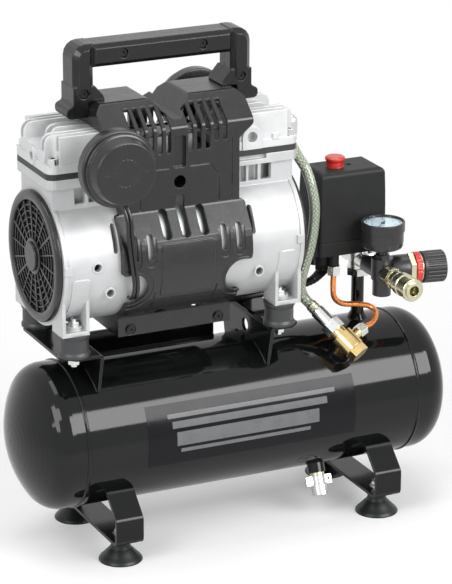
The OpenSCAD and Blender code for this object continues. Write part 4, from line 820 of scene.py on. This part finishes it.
def seen_directly(g):
    """1 where the camera, a reflection or a refraction sees it, and 0 where it only lights."""
    rays = g.add("LightPath").outputs
    seen = g.math("ADD", rays["Is Camera Ray"], rays["Is Glossy Ray"])
    return g.math("ADD", seen, rays["Is Transmission Ray"], clamp=True)


def stage_material():
    """White that shows the part's shadow near it and turns to plain white further out."""
    material, g = new_material("studio_floor")
    split = g.add("SeparateXYZ", {"Vector": g.position()})
    x2 = g.math("POWER", split.outputs["X"], 2)
    y2 = g.math("POWER", split.outputs["Y"], 2)
    far = g.math("SQRT", g.math("ADD", x2, y2))
    fade = g.span(far, 0.45, 0.9)
    grain = g.noise(40, 2)
    lit = g.add("BsdfDiffuse", {"Color": g.mix(grain, (0.80, 0.80, 0.80), (0.82, 0.82, 0.82))})
    lift = g.add("Emission", {"Color": (1, 1, 1, 1), "Strength": 0.25})
    near = g.add("AddShader")
    g.put(near.inputs[0], lit.outputs[0])
    g.put(near.inputs[1], lift.outputs[0])
    white = g.add("Emission", {"Color": (1, 1, 1, 1), "Strength": 1.0})
    mixed = g.add("MixShader", {"Fac": fade})
    g.put(mixed.inputs[1], near.outputs[0])
    g.put(mixed.inputs[2], white.outputs[0])
    seen = seen_directly(g)
    shown = g.add("MixShader", {"Fac": seen})
    g.put(shown.inputs[1], lit.outputs[0])
    g.put(shown.inputs[2], mixed.outputs[0])
    out = g.add("OutputMaterial")
    g.put(out.inputs["Surface"], shown.outputs[0])
    return material


def add_floor():
    mesh = bpy.data.meshes.new("floor")
    quarters = ((-1, -1), (1, -1), (1, 1), (-1, 1))
    corners = [(sx * FLOOR_HALF, sy * FLOOR_HALF, 0) for sx, sy in quarters]
    mesh.from_pydata(corners, [], [(0, 1, 2, 3)])
    mesh.materials.append(stage_material())
    floor = bpy.data.objects.new("floor", mesh)
    bpy.context.scene.collection.objects.link(floor)


def add_lamp(name, where, look_at, size, power, shine_only=False):
    """A soft lamp. With shine_only it shows in glossy surfaces and lights nothing else."""
    data = bpy.data.lights.new(name, "AREA")
    data.shape = "RECTANGLE"
    data.size, data.size_y = size
    data.energy = power
    lamp = bpy.data.objects.new(name, data)
    lamp.visible_diffuse = not shine_only
    bpy.context.scene.collection.objects.link(lamp)
    lamp.location = where
    lamp.rotation_mode = "QUATERNION"
    lamp.rotation_quaternion = (Vector(where) - Vector(look_at)).to_track_quat("Z", "Y")


def add_world(level):
    world = bpy.data.worlds.new("studio")
    world.use_nodes = True
    world.node_tree.nodes.clear()
    g = Graph(world.node_tree)
    seen = seen_directly(g)
    strength = g.span(seen, 0, 1, level, 1.0)
    shade = g.add("Background", {"Color": (1, 1, 1, 1), "Strength": strength})
    out = g.add("OutputWorld")
    g.put(out.inputs["Surface"], shade.outputs[0])
    bpy.context.scene.world = world


def add_studio():
    add_floor()
    add_world(0.32)
    middle = (0, 0, 0.25)
    add_lamp("softbox_right", (0.95, -1.75, 1.35), (0, 0, 0.15), (1.7, 1.2), 35)
    add_lamp("shine_card", (0.93, -1.74, 1.32), (0, 0, 0.15), (1.9, 1.1), 30, shine_only=True)
    add_lamp("softbox_left", (-1.7, -0.9, 1.3), middle, (1.0, 1.3), 25)
    add_lamp("softbox_top", (0.0, 0.3, 2.2), middle, (1.6, 1.0), 15)
    bpy.context.scene.view_settings.view_transform = "Standard"


add_camera()
FINISH = make_finishes()
dress_nodes()
add_cords()
add_strain_relief()
add_hose_ferrules()
add_welds()
add_label()
add_gauge()
add_regulator()
add_fan_covers()
add_studio()
